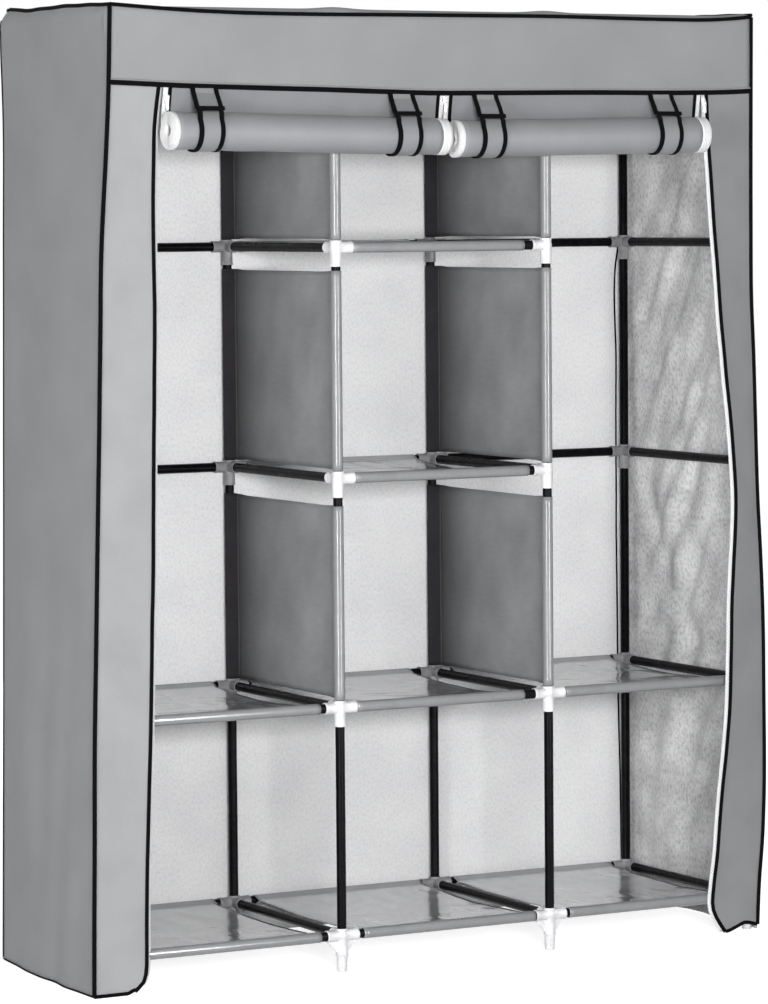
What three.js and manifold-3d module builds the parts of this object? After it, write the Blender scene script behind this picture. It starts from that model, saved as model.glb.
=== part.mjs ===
// Portable fabric wardrobe: a grid of steel tubes and plastic connectors inside a hanging cloth cover.
// Lengths are in millimetres. X runs across the front, Y to the back and Z up.

import * as THREE from "three";
import { mergeVertices } from "three/addons/utils/BufferGeometryUtils.js";
import Module from "manifold-3d";

const wasm = await Module();
wasm.setup();

// Grid of tubes: three bays wide, one deep, four storeys high
const bayCount = 3;
const levelCount = 5;
const bayPitch = 410;
const depthPitch = 408;
const levelPitch = 388;
const bottomLevelHeight = 62;

// Steel tubes
const tubeRadius = 8;
const tubeWall = 0.5;
const tubeFit = 0.3;
const roundSides = 8;

// Plastic connectors: a short collar above each crossing and a long socket below it
const socketWall = 2;
const socketReach = 30;
const socketAbove = 10;
const socketBelow = 32;
const socketCap = 2;
const postEndBelowLevel = 4;
const teeHalfLength = 20;

// Feet: ribbed plugs that stand under the lowest sockets
const footSoleRadius = 7;
const footNeckRadius = 9;
const footFlangeRadius = 11;
const footFlangeHeight = 3;

// Cloth and the gap that sewn or touching pieces keep
const clothThickness = 1.2;
const seamGap = 0.3;

// Shelves and dividers: sheets with a sleeve over the tube at each end
const sleeveFit = 0.6;
const sleeveSides = 10;
const shelfEndInset = 37;
const dividerBelowLevel = 40;
const dividerAboveLevel = 18;

// Cover: it hangs over the frame and flares towards its hem
const coverClearance = 3;
const hemHeight = 6;
const leftFlare = 40;
const rightFlare = 12;
const backFlare = 10;
const headerDrop = 130;
const headerSeamHeight = 8;
const headerSeamDepth = 6;
const stripWidth = 95;
const sideFoldDepth = 6;
const sideFoldCount = 3;
const backFoldCount = 4;
const stripFoldDepth = 7;
const stepsPerFold = 4;
const sheetRows = 4;

// Zips
const tapeWidth = 13;
const zipGap = 4;
const zipWebFit = 0.5;
const sliderWidth = 10;
const sliderHeight = 14;
const sliderPlate = 1.5;
const sliderBelowSeam = 24;
const bailLength = 8;
const bailWidth = 2;
const bailBar = 1.2;
const bailRoom = 2.2;
const tabWidth = 6;
const tabLength = 20;
const tabThickness = 1.2;
const tabRim = 1.5;
const tabEyeLength = 4.6;

// Doors, rolled up and tied under the header
const rollRadius = 32;
const rollCoreRadius = 10;
const rollSidesPerTurn = 10;
const rollBelowSeam = 70;
const rollStandOff = 12;
const rollLength = 505;
const leftRollInnerEnd = -29.5;
const rightRollInnerEnd = -7.5;
const strapWidth = 50;
const strapArcSteps = 14;
const strapPairCentre = 260;
const strapHalfSpacing = 180;
const strapBranchGap = 1;
const flapStraightDrop = 38;

// Sizes that follow from those above
const overrun = tubeRadius;
const postBore = tubeRadius + tubeFit;
const socketRadius = postBore + socketWall;
const sleeveBore = tubeRadius + sleeveFit;
const sleeveRadius = sleeveBore + clothThickness;
const halfWidth = (bayCount * bayPitch) / 2;
const halfDepth = depthPitch / 2;
const topLevel = bottomLevelHeight + (levelCount - 1) * levelPitch;
const coverInnerX = halfWidth + socketRadius + coverClearance;
const coverOuterX = coverInnerX + clothThickness;
const coverInnerY = halfDepth + socketRadius + coverClearance;
const coverOuterY = coverInnerY + clothThickness;
const coverInnerTop = topLevel + socketRadius + seamGap;
const coverTop = coverInnerTop + clothThickness;
const coverDrop = coverTop - hemHeight;
const seamBottom = coverTop - headerDrop;
const rollCentreY = coverOuterY + rollStandOff + rollRadius;
const rollCentreZ = seamBottom - rollBelowSeam;
const flapKneeZ = seamBottom - flapStraightDrop;
const doorLength = rollCentreZ - hemHeight;
const rollPitch = (Math.PI * (rollRadius ** 2 - rollCoreRadius ** 2)) / doorLength;
const rollTurns = (rollRadius - rollCoreRadius) / rollPitch;
const leftRollCentre = leftRollInnerEnd - rollLength / 2;
const rightRollCentre = rightRollInnerEnd + rollLength / 2;
const strapInnerRadius = rollRadius + seamGap;
const strapOuterRadius = strapInnerRadius + clothThickness;
const frontReach = rollCentreY + strapOuterRadius;
const backReach = coverOuterY + backFlare;
const tapeEdge = coverOuterX - stripWidth - seamGap - tapeWidth;
const zipLine = tapeEdge - zipGap / 2;

const columns = Array.from({ length: bayCount + 1 }, (_, column) => column * bayPitch - halfWidth);
const rows = [
  { name: "front", y: -halfDepth },
  { name: "back", y: halfDepth },
];
const columnNames = ["left", "inner_left", "inner_right", "right"];
const levelZ = (level) => bottomLevelHeight + level * levelPitch;

// Materials
const steel = new THREE.MeshStandardMaterial({ color: 0x1c1a1e, roughness: 0.35, metalness: 0.6 });
const plastic = new THREE.MeshStandardMaterial({ color: 0xe8e8ea, roughness: 0.45, metalness: 0 });
const coverCloth = new THREE.MeshStandardMaterial({ color: 0x939496, roughness: 0.9, metalness: 0 });
const shelfCloth = new THREE.MeshStandardMaterial({ color: 0x858688, roughness: 0.6, metalness: 0 });
const dividerCloth = new THREE.MeshStandardMaterial({ color: 0x66686a, roughness: 0.9, metalness: 0 });
const zipTape = new THREE.MeshStandardMaterial({ color: 0xf2f2f2, roughness: 0.8, metalness: 0 });
const zipMetal = new THREE.MeshStandardMaterial({ color: 0xcfcfd2, roughness: 0.3, metalness: 1 });

const assembly = new THREE.Group();

function add(name, geometry, material, position = [0, 0, 0]) {
  const mesh = new THREE.Mesh(geometry, material);
  mesh.name = name;
  mesh.position.set(...position);
  assembly.add(mesh);
}

// Closed meshes and their joins and cuts
function closedMesh(geometry) {
  const bare = geometry.clone();
  bare.deleteAttribute("normal");
  bare.deleteAttribute("uv");
  return mergeVertices(bare);
}

function solid(geometry) {
  const mesh = closedMesh(geometry);
  const vertProperties = new Float32Array(mesh.attributes.position.array);
  const triVerts = new Uint32Array(mesh.index.array);
  return new wasm.Manifold(new wasm.Mesh({ numProp: 3, vertProperties, triVerts }));
}

function shapeOf(manifold) {
  const mesh = manifold.getMesh();
  const geometry = new THREE.BufferGeometry();
  geometry.setAttribute("position", new THREE.BufferAttribute(mesh.vertProperties, mesh.numProp));
  geometry.setIndex(new THREE.BufferAttribute(mesh.triVerts, 1));
  return geometry;
}

const joined = (geometries) => geometries.map(solid).reduce((whole, piece) => whole.add(piece));

function block(size, centre) {
  return new THREE.BoxGeometry(...size).translate(...centre);
}

function rod(from, to, radius) {
  const start = new THREE.Vector3(...from);
  const run = new THREE.Vector3(...to).sub(start);
  const turn = new THREE.Quaternion().setFromUnitVectors(
    new THREE.Vector3(0, 1, 0),
    run.clone().normalize(),
  );
  const middle = start.addScaledVector(run, 1 / 2);
  return new THREE.CylinderGeometry(radius, radius, run.length(), roundSides)
    .applyQuaternion(turn)
    .translate(...middle.toArray());
}

// An extruded arc or circle gets two steps for each of its curve segments
const extruded = (profile, depth, arcSteps) =>
  new THREE.ExtrudeGeometry(profile, { depth, bevelEnabled: false, curveSegments: arcSteps / 2 });

function pipe(length, outerRadius, innerRadius) {
  const ring = new THREE.Shape().absarc(0, 0, outerRadius, 0, Math.PI * 2);
  ring.holes.push(new THREE.Path().absarc(0, 0, innerRadius, 0, Math.PI * 2));
  return closedMesh(extruded(ring, length, roundSides));
}

// A profile drawn in the YZ plane and run across the wardrobe, centred on its own middle
function runAcross(profile, width, arcSteps) {
  const turn = new THREE.Matrix4().makeBasis(
    new THREE.Vector3(0, 1, 0),
    new THREE.Vector3(0, 0, 1),
    new THREE.Vector3(1, 0, 0),
  );
  const geometry = extruded(profile, width, arcSteps);
  return closedMesh(geometry.applyMatrix4(turn).translate(-width / 2, 0, 0));
}

// Sheet of cloth over a grid of points: place(across, down) gives the outer face, inward its thickness
function clothSheet(columnCount, rowCount, place, inward) {
  const positions = [];
  const triangles = [];
  for (const depth of [0, clothThickness]) {
    for (let row = 0; row <= rowCount; row++) {
      for (let column = 0; column <= columnCount; column++) {
        const point = place(column / columnCount, row / rowCount).addScaledVector(inward, depth);
        positions.push(...point.toArray());
      }
    }
  }
  const layerSize = (columnCount + 1) * (rowCount + 1);
  const vertex = (layer, column, row) => layer * layerSize + row * (columnCount + 1) + column;
  const quad = (a, b, c, d) => triangles.push(a, b, c, a, c, d);
  for (let row = 0; row < rowCount; row++) {
    for (let column = 0; column < columnCount; column++) {
      const corners = [
        [column, row],
        [column, row + 1],
        [column + 1, row + 1],
        [column + 1, row],
      ];
      quad(...corners.map(([c, r]) => vertex(0, c, r)));
      quad(...corners.reverse().map(([c, r]) => vertex(1, c, r)));
    }
  }
  for (let column = 0; column < columnCount; column++) {
    quad(vertex(0, column, 0), vertex(0, column + 1, 0), vertex(1, column + 1, 0), vertex(1, column, 0));
    quad(
      vertex(0, column + 1, rowCount),
      vertex(0, column, rowCount),
      vertex(1, column, rowCount),
      vertex(1, column + 1, rowCount),
    );
  }
  for (let row = 0; row < rowCount; row++) {
    quad(vertex(0, 0, row + 1), vertex(0, 0, row), vertex(1, 0, row), vertex(1, 0, row + 1));
    quad(
      vertex(0, columnCount, row),
      vertex(0, columnCount, row + 1),
      vertex(1, columnCount, row + 1),
      vertex(1, columnCount, row),
    );
  }
  const geometry = new THREE.BufferGeometry();
  geometry.setAttribute("position", new THREE.Float32BufferAttribute(positions, 3));
  geometry.setIndex(triangles);
  return facingOut(geometry);
}

// A mirrored sheet has its faces turned in, which a negative volume shows
function facingOut(geometry) {
  const points = geometry.attributes.position;
  const index = geometry.index.array;
  const [a, b, c] = [new THREE.Vector3(), new THREE.Vector3(), new THREE.Vector3()];
  let volume = 0;
  for (let i = 0; i < index.length; i += 3) {
    a.fromBufferAttribute(points, index[i]);
    b.fromBufferAttribute(points, index[i + 1]);
    c.fromBufferAttribute(points, index[i + 2]);
    volume += a.dot(b.cross(c));
  }
  if (volume < 0) {
    geometry.setIndex(Array.from(index).reverse());
  }
  return geometry;
}

// Level frames: connectors, cross rails and depth tubes of one level as one piece
const levels = [
  { name: "bottom_level_frame", frontBays: [0, 1, 2] },
  { name: "first_level_frame", frontBays: [0, 1, 2] },
  { name: "second_level_frame", frontBays: [1] },
  { name: "third_level_frame", frontBays: [1] },
  { name: "top_level_frame", frontBays: [0, 1, 2], capped: true },
];
const hangingBays = [0, 2];
const railBays = { front: (level) => level.frontBays, back: () => [0, 1, 2] };

// One rail between two posts, with a socket at each end
function railParts(from, to) {
  const start = new THREE.Vector3(...from);
  const end = new THREE.Vector3(...to);
  const along = end.clone().sub(start).normalize();
  const firstMouth = start.clone().addScaledVector(along, socketReach);
  const lastMouth = end.clone().addScaledVector(along, -socketReach);
  return {
    outers: [
      rod(from, to, tubeRadius),
      rod(from, firstMouth.toArray(), socketRadius),
      rod(lastMouth.toArray(), to, socketRadius),
    ],
    bore: rod(from, to, tubeRadius - tubeWall),
  };
}

// Tee on a depth tube that takes the end of a hanging rail
function teeParts(x, side) {
  const mouth = x + side * socketReach;
  const floor = x + side * socketRadius;
  return {
    outers: [
      rod([x, -teeHalfLength, 0], [x, teeHalfLength, 0], socketRadius),
      rod([x, 0, 0], [mouth, 0, 0], socketRadius),
    ],
    bore: rod([floor, 0, 0], [mouth + side * overrun, 0, 0], postBore),
  };
}

function levelFrame(level) {
  const outers = [];
  const bores = [];
  for (const x of columns) {
    for (const { y } of rows) {
      const boreTop = level.capped ? socketAbove - socketCap : socketAbove + overrun;
      outers.push(rod([x, y, -socketBelow], [x, y, socketAbove], socketRadius));
      bores.push(rod([x, y, -socketBelow - overrun], [x, y, boreTop], postBore));
    }
  }
  const rails = columns.map((x) => railParts([x, -halfDepth, 0], [x, halfDepth, 0]));
  for (const { name, y } of rows) {
    for (const bay of railBays[name](level)) {
      rails.push(railParts([columns[bay], y, 0], [columns[bay + 1], y, 0]));
    }
  }
  if (level.capped) {
    for (const bay of hangingBays) {
      rails.push(teeParts(columns[bay], 1), teeParts(columns[bay + 1], -1));
    }
  }
  for (const rail of rails) {
    outers.push(...rail.outers);
    bores.push(rail.bore);
  }
  return shapeOf(joined(outers).subtract(joined(bores)));
}

levels.forEach((level, index) => {
  add(level.name, levelFrame(level), steel, [0, 0, levelZ(index)]);
});

// Posts: four tube lengths each, drawn as one tube that runs through every connector
const postBottom = levelZ(0) - postEndBelowLevel;
const postTop = topLevel + socketAbove - socketCap - seamGap;
const post = pipe(postTop - postBottom, tubeRadius, tubeRadius - tubeWall);

// Feet: the spigot fills the lowest socket up to the post's end
function footProfile() {
  const flangeTop = bottomLevelHeight - socketBelow - seamGap;
  const flangeBottom = flangeTop - footFlangeHeight;
  const spigotTop = postBottom - seamGap;
  return [
    [0, 0],
    [footSoleRadius, 0],
    [footNeckRadius, flangeBottom],
    [footFlangeRadius, flangeBottom],
    [footFlangeRadius, flangeTop],
    [tubeRadius, flangeTop],
    [tubeRadius, spigotTop],
    [0, spigotTop],
  ].map(([radius, height]) => new THREE.Vector2(radius, height));
}
const foot = closedMesh(new THREE.LatheGeometry(footProfile(), roundSides).rotateX(Math.PI / 2));

for (const { name, y } of rows) {
  columns.forEach((x, column) => {
    add(`post_${name}_${columnNames[column]}`, post, steel, [x, y, postBottom]);
    add(`foot_${name}_${columnNames[column]}`, foot, plastic, [x, y, 0]);
  });
}

// Hanging rails: one in each outer bay, between the tees of the top level
const hangingRailLength = bayPitch - 2 * (socketRadius + tubeFit);
const hangingRail = pipe(hangingRailLength, tubeRadius, tubeRadius - tubeWall).rotateY(Math.PI / 2);
for (const bay of hangingBays) {
  const start = columns[bay] + socketRadius + tubeFit;
  const side = bay === 0 ? "left" : "right";
  add(`hanging_rail_${side}`, hangingRail, steel, [start, 0, topLevel]);
}

// Sheet with a sleeve at each end, drawn with the sleeves' bores on the first axis
function sleevedSheet() {
  const underside = Math.acos(sleeveBore / sleeveRadius);
  const outline = new THREE.Shape();
  outline.moveTo(-halfDepth, sleeveRadius);
  outline.lineTo(halfDepth, sleeveRadius);
  outline.absarc(halfDepth, 0, sleeveRadius, Math.PI / 2, Math.PI / 2 + underside, true);
  outline.absarc(-halfDepth, 0, sleeveRadius, Math.PI / 2 - underside, Math.PI / 2, true);
  for (const { y } of rows) {
    outline.holes.push(new THREE.Path().absarc(y, 0, sleeveBore, 0, Math.PI * 2));
  }
  return outline;
}

const shelf = runAcross(sleevedSheet(), bayPitch - 2 * shelfEndInset, sleeveSides);
const shelves = [
  { name: "bottom", level: 0, bays: [0, 1, 2] },
  { name: "first", level: 1, bays: [0, 1, 2] },
  { name: "second", level: 2, bays: [1] },
  { name: "third", level: 3, bays: [1] },
];
const bayNames = ["left", "middle", "right"];
for (const { name, level, bays } of shelves) {
  for (const bay of bays) {
    const middle = (columns[bay] + columns[bay + 1]) / 2;
    add(`${name}_shelf_${bayNames[bay]}`, shelf, shelfCloth, [middle, 0, levelZ(level)]);
  }
}

// Dividers hang between the front and back inner posts, in each storey above the first shelf
const dividerHeight = levelPitch - dividerBelowLevel - dividerAboveLevel;
const uprightTurn = new THREE.Matrix4().makeBasis(
  new THREE.Vector3(0, 1, 0),
  new THREE.Vector3(1, 0, 0),
  new THREE.Vector3(0, 0, -1),
);
const divider = closedMesh(
  extruded(sleevedSheet(), dividerHeight, sleeveSides).applyMatrix4(uprightTurn),
);
for (const [column, side] of [
  [1, "left"],
  [2, "right"],
]) {
  ["lower", "middle", "upper"].forEach((name, storey) => {
    const top = levelZ(storey + 2) - dividerBelowLevel;
    add(`${name}_divider_${side}`, divider, dividerCloth, [columns[column], 0, top]);
  });
}

// Cover: where its left or right corner seam runs at a height
const sides = [
  { name: "left", sign: -1, flare: leftFlare, rollCentre: leftRollCentre },
  { name: "right", sign: 1, flare: rightFlare, rollCentre: rightRollCentre },
];
const fallShare = (z) => (coverTop - z) / coverDrop;
const cornerX = (side, z) => side.sign * (coverOuterX + side.flare * fallShare(z));
const foldIn = (across, count) => (1 - Math.cos(across * count * Math.PI * 2)) / 2;
const heightAt = (top, bottom, share) => top + (bottom - top) * share;

function topPanel() {
  return block(
    [2 * coverOuterX, 2 * coverOuterY, clothThickness],
    [0, 0, coverInnerTop + clothThickness / 2],
  );
}

// Side panel: from the front corner seam to the back one, with soft folds that deepen to the hem
function sidePanel(side) {
  const front = -coverInnerY + seamGap;
  const place = (across, down) => {
    const z = heightAt(coverInnerTop - seamGap, hemHeight, down);
    const back = coverInnerY - seamGap + backFlare * fallShare(z);
    const fold = sideFoldDepth * foldIn(across, sideFoldCount) * fallShare(z);
    return new THREE.Vector3(cornerX(side, z) - side.sign * fold, front + (back - front) * across, z);
  };
  const inward = new THREE.Vector3(-side.sign, 0, 0);
  return clothSheet(sideFoldCount * stepsPerFold, sheetRows, place, inward);
}

function backPanel() {
  const place = (across, down) => {
    const z = heightAt(coverInnerTop - seamGap, hemHeight, down);
    const [left, right] = sides.map((side) => cornerX(side, z));
    const fold = sideFoldDepth * foldIn(across, backFoldCount) * fallShare(z);
    return new THREE.Vector3(left + (right - left) * across, coverOuterY + backFlare * fallShare(z) - fold, z);
  };
  return clothSheet(backFoldCount * stepsPerFold, sheetRows, place, new THREE.Vector3(0, -1, 0));
}

// Header: a band between the corner seams, with the bound seam that the straps and doors hang from
function header() {
  const place = (across, down) => {
    const z = heightAt(coverInnerTop - seamGap, seamBottom, down);
    const [left, right] = sides.map((side) => cornerX(side, z));
    return new THREE.Vector3(left + (right - left) * across, -coverOuterY, z);
  };
  const band = clothSheet(1, 1, place, new THREE.Vector3(0, 1, 0));
  const seam = block(
    [2 * coverInnerX, headerSeamDepth, headerSeamHeight],
    [0, -coverOuterY + clothThickness / 2, seamBottom + headerSeamHeight / 2],
  );
  return shapeOf(joined([band, seam]));
}

// Front strip beside the opening, with one fold that swells forward towards the hem
function frontStrip(side) {
  const place = (across, down) => {
    const z = heightAt(seamBottom - seamGap, hemHeight, down);
    const fold = stripFoldDepth * foldIn(across, 1) * fallShare(z);
    return new THREE.Vector3(cornerX(side, z) - side.sign * stripWidth * across, -coverOuterY - fold, z);
  };
  return clothSheet(2 * stepsPerFold, sheetRows, place, new THREE.Vector3(0, 1, 0));
}

function edgeTape(side) {
  const place = (across, down) => {
    const z = heightAt(seamBottom - seamGap, hemHeight, down);
    const edge = cornerX(side, z) - side.sign * (stripWidth + seamGap);
    return new THREE.Vector3(edge - side.sign * tapeWidth * across, -coverOuterY, z);
  };
  return clothSheet(1, 1, place, new THREE.Vector3(0, 1, 0));
}

add("cover_top", topPanel(), coverCloth);
add("cover_back", backPanel(), coverCloth);
add("cover_header", header(), coverCloth);
for (const side of sides) {
  add(`cover_side_${side.name}`, sidePanel(side), coverCloth);
  add(`front_strip_${side.name}`, frontStrip(side), coverCloth);
  add(`zip_tape_${side.name}`, edgeTape(side), zipTape);
}

// Rolled door: one long sheet wound inwards from the back of the roll, under it and up its front
function rollProfile() {
  const steps = Math.round(rollTurns * rollSidesPerTurn);
  const edge = (inset) =>
    Array.from({ length: steps + 1 }, (_, step) => {
      const angle = -(step / steps) * rollTurns * Math.PI * 2;
      const radius = rollRadius - inset - (step / steps) * rollTurns * rollPitch;
      return new THREE.Vector2(radius * Math.cos(angle), radius * Math.sin(angle));
    });
  return new THREE.Shape([...edge(0), ...edge(clothThickness).reverse()]);
}

// Flap of a door that still hangs: straight down behind the zips, then forward to its roll's outer end
function flapProfile() {
  const seamY = -coverOuterY + clothThickness;
  const rollY = -rollCentreY + rollRadius;
  const top = seamBottom - seamGap;
  const bottom = rollCentreZ + seamGap;
  return new THREE.Shape([
    new THREE.Vector2(rollY - clothThickness, bottom),
    new THREE.Vector2(rollY, bottom),
    new THREE.Vector2(seamY, flapKneeZ),
    new THREE.Vector2(seamY, top),
    new THREE.Vector2(seamY - clothThickness, top),
    new THREE.Vector2(seamY - clothThickness, flapKneeZ),
  ]);
}

// Angle round the roll at which a straight run from a point touches a circle; turn picks the side
function touchAngle(y, z, radius, turn) {
  const acrossGap = y + rollCentreY;
  const upGap = z - rollCentreZ;
  const distance = Math.hypot(acrossGap, upGap);
  return Math.atan2(upGap, acrossGap) + turn * Math.acos(radius / distance);
}

// Strap: from the seam down the roll's front, under it and up behind the flap to the seam again
function strapProfile() {
  const top = seamBottom - seamGap;
  const frontOuter = -coverOuterY - strapBranchGap - clothThickness;
  const frontInner = frontOuter + clothThickness;
  const backInner = -coverOuterY + clothThickness + strapBranchGap;
  const backOuter = backInner + clothThickness;
  const band = new THREE.Shape();
  band.moveTo(frontOuter, top);
  band.absarc(
    -rollCentreY,
    rollCentreZ,
    strapOuterRadius,
    touchAngle(frontOuter, top, strapOuterRadius, 1),
    touchAngle(backOuter, flapKneeZ, strapOuterRadius, -1),
    false,
  );
  band.lineTo(backOuter, flapKneeZ);
  band.lineTo(backOuter, top);
  band.lineTo(backInner, top);
  band.lineTo(backInner, flapKneeZ);
  band.absarc(
    -rollCentreY,
    rollCentreZ,
    strapInnerRadius,
    touchAngle(backInner, flapKneeZ, strapInnerRadius, -1),
    touchAngle(frontInner, top, strapInnerRadius, 1),
    true,
  );
  band.lineTo(frontInner, top);
  return band;
}

const roll = runAcross(rollProfile(), rollLength, roundSides);
const flapOuter = tapeEdge - zipGap;
const flap = runAcross(flapProfile(), flapOuter - zipGap / 2, roundSides);
const strap = runAcross(strapProfile(), strapWidth, strapArcSteps);
for (const { name, sign, rollCentre } of sides) {
  const flapCentre = (sign * (flapOuter + zipGap / 2)) / 2;
  const outerStrap = sign * (strapPairCentre + strapHalfSpacing);
  const innerStrap = sign * (strapPairCentre - strapHalfSpacing);
  add(`door_roll_${name}`, roll, coverCloth, [rollCentre, -rollCentreY, rollCentreZ]);
  add(`door_flap_${name}`, flap, coverCloth, [flapCentre, 0, 0]);
  add(`door_strap_${name}_outer`, strap, coverCloth, [outerStrap, 0, 0]);
  add(`door_strap_${name}_inner`, strap, coverCloth, [innerStrap, 0, 0]);
}

// Zip slider: plates in front of and behind the tape, a web between them and a bail on the front
const plateFront = -clothThickness / 2 - seamGap - sliderPlate;
const bailY = plateFront - bailRoom - bailBar / 2;
const tabY = plateFront - bailRoom / 2;

function slider() {
  const plateOffset = (clothThickness + sliderPlate) / 2 + seamGap;
  const plate = [sliderWidth, sliderPlate, sliderHeight];
  const legZ = (bailLength - bailBar) / 2;
  const legCentre = (plateFront + bailY) / 2;
  return shapeOf(
    joined([
      block(plate, [0, -plateOffset, 0]),
      block(plate, [0, plateOffset, 0]),
      block([zipGap - 2 * zipWebFit, 2 * plateOffset, sliderHeight], [0, 0, 0]),
      block([bailWidth, bailBar, bailLength], [0, bailY, 0]),
      block([bailWidth, bailRoom + bailBar, bailBar], [0, legCentre, legZ]),
      block([bailWidth, bailRoom + bailBar, bailBar], [0, legCentre, -legZ]),
    ]),
  );
}

// Pull tab: a plate with an eye that the slider's bail passes through
function pullTab() {
  const plate = solid(
    block([tabWidth, tabThickness, tabLength], [0, 0, tabRim / 2 - tabLength / 2]),
  );
  const eye = solid(
    block([tabWidth - 2 * tabRim, 2 * tabThickness, tabEyeLength], [0, 0, -(tabRim + tabEyeLength) / 2]),
  );
  return shapeOf(plate.subtract(eye));
}

const sliderShape = slider();
const tabShape = pullTab();
const sliderZ = seamBottom - sliderBelowSeam;
const sliderY = -coverOuterY + clothThickness / 2;
const zipLines = [
  { name: "left", x: cornerX(sides[0], sliderZ) + (coverOuterX - zipLine) },
  { name: "centre", x: 0 },
  { name: "right", x: cornerX(sides[1], sliderZ) - (coverOuterX - zipLine) },
];
for (const { name, x } of zipLines) {
  add(`zip_slider_${name}`, sliderShape, zipMetal, [x, sliderY, sliderZ]);
  add(`zip_pull_${name}`, tabShape, zipMetal, [x, sliderY + tabY, sliderZ]);
}

// The origin is on the floor, at the middle of everything's outer box
assembly.position.set((leftFlare - rightFlare) / 2, (frontReach - backReach) / 2, 0);
const wardrobe = new THREE.Group();
wardrobe.add(assembly);

export default wardrobe;
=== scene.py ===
"""Looks of the portable fabric wardrobe: cloth cover, tube frame, shelves and rolled doors.

Lengths are in millimetres in the wardrobe's own places: X from the middle bay's middle, Y from the middle
of the frame's depth (the front is negative), Z up from the floor. placed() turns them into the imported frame.
"""

import math

import bmesh
import bpy
import numpy as np
from mathutils import Matrix, Vector


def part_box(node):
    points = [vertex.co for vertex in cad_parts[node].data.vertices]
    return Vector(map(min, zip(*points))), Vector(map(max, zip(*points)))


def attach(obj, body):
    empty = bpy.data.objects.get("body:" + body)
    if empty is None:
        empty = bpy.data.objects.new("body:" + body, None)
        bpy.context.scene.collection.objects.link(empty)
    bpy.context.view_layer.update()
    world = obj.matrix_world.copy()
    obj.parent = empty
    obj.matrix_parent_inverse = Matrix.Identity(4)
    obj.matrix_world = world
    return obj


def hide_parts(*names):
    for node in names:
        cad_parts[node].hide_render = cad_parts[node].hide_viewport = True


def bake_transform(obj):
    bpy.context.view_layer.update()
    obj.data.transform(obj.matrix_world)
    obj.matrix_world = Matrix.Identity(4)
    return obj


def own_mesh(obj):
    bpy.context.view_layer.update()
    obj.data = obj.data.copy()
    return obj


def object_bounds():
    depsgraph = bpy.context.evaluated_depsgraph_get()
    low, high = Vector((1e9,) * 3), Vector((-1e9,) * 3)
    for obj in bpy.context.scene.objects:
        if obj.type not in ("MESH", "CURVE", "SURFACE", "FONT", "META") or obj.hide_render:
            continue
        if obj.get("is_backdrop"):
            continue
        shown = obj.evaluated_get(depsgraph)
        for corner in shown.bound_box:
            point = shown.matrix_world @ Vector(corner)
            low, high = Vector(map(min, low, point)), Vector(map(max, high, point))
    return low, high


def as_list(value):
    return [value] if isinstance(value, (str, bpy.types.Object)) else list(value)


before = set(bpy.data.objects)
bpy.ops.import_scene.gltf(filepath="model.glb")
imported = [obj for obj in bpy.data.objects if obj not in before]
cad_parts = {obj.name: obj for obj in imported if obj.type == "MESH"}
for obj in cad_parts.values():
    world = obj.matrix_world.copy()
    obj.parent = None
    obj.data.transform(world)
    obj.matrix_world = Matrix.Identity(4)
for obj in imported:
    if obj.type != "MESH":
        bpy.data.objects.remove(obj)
cad_low, cad_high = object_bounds()
MM = 0.001

# ---------------------------------------------------------------- sizes
COLUMNS = (-615.0, -205.0, 205.0, 615.0)
COLUMN_NAMES = ("left", "inner_left", "inner_right", "right")
BAYS = ("left", "middle", "right")
FRONT, BACK = -204.0, 204.0
LEVELS = (62.0, 450.0, 838.0, 1226.0, 1614.0)
LEVEL_NAMES = ("bottom", "first", "second", "third", "top")
TOP_LEVEL = 4
FRONT_BAYS = ((0, 1, 2), (0, 1, 2), (1,), (1,), (0, 1, 2))  # bays with a front tube, by level
TUBE = 8.0  # radius of every tube
TUBE_START = 12.0  # from a connector's middle to the tube's end inside it
TUBE_SIDES = 22
HUB = 10.6  # radius of a connector's middle
SOCKET = 9.7  # radius of its sockets
SOCKET_REACH = 30.0
SOCKET_BELOW = 32.0
SOCKET_ABOVE = 10.0
CLOTH = 0.9  # drawn thickness
SLEEVE = 8.8  # radius of cloth sewn round a tube
STITCH = 20.0  # from a tube's middle to the stitch line beside it
SEWN = BACK - STITCH  # the sheet is free between the stitch lines, at this depth either way
STITCH_ROW = SEWN + 1
FACE = -218.2  # depth of the cover's front
FRONT_CORNER = -218.0  # where its sides and top begin
BACK_CLOTH = 218.9  # depth of its back between the corners
TOP_BACK = 1634.0  # height of its back corners
CORNER_TOP = 1625  # height of its front corners
HEM = 2.0
ROLL_Y = -249.5  # depth of the rolled doors' axis
ROLL = 32.0  # their radius
ROLL_CORE = 10.0
ROLL_PITCH = 2.04  # thickness of one turn
# X of each rolled door's ends, height of its axis at both ends, X of the flap's edges and of the straps
DOORS = {
    "left": {
        "roll": (-529.0, -36.0), "axis": (1420.5, 1411.0), "flap": (-514.7, -12.0), "straps": (-455.5, -86.3),
    },
    "right": {
        "roll": (3.5, 480.0), "axis": (1407.0, 1414.5), "flap": (12.9, 503.0), "straps": (76.3, 429.2),
    },
}


def middle_of(node):
    low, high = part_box(node)
    return (Vector(low) + Vector(high)) / 2


def shift_of_frame():
    """Where the wardrobe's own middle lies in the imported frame, in metres."""
    front, back = middle_of("post_front_inner_left"), middle_of("post_back_inner_right")
    return np.array(((front.x + back.x) / 2, (front.y + back.y) / 2, 0.0))


SHIFT = shift_of_frame()


def placed(points):
    return np.asarray(points, float) * MM + SHIFT


def own(point):
    """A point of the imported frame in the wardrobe's own millimetres."""
    return (np.array(point) - SHIFT) / MM


# ---------------------------------------------------------------- materials
def linear(hex_colour):
    """Linear RGBA of an sRGB hex colour."""
    parts = [int(hex_colour[i : i + 2], 16) / 255 for i in (1, 3, 5)]
    return tuple(p / 12.92 if p <= 0.04045 else ((p + 0.055) / 1.055) ** 2.4 for p in parts) + (1.0,)


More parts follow.
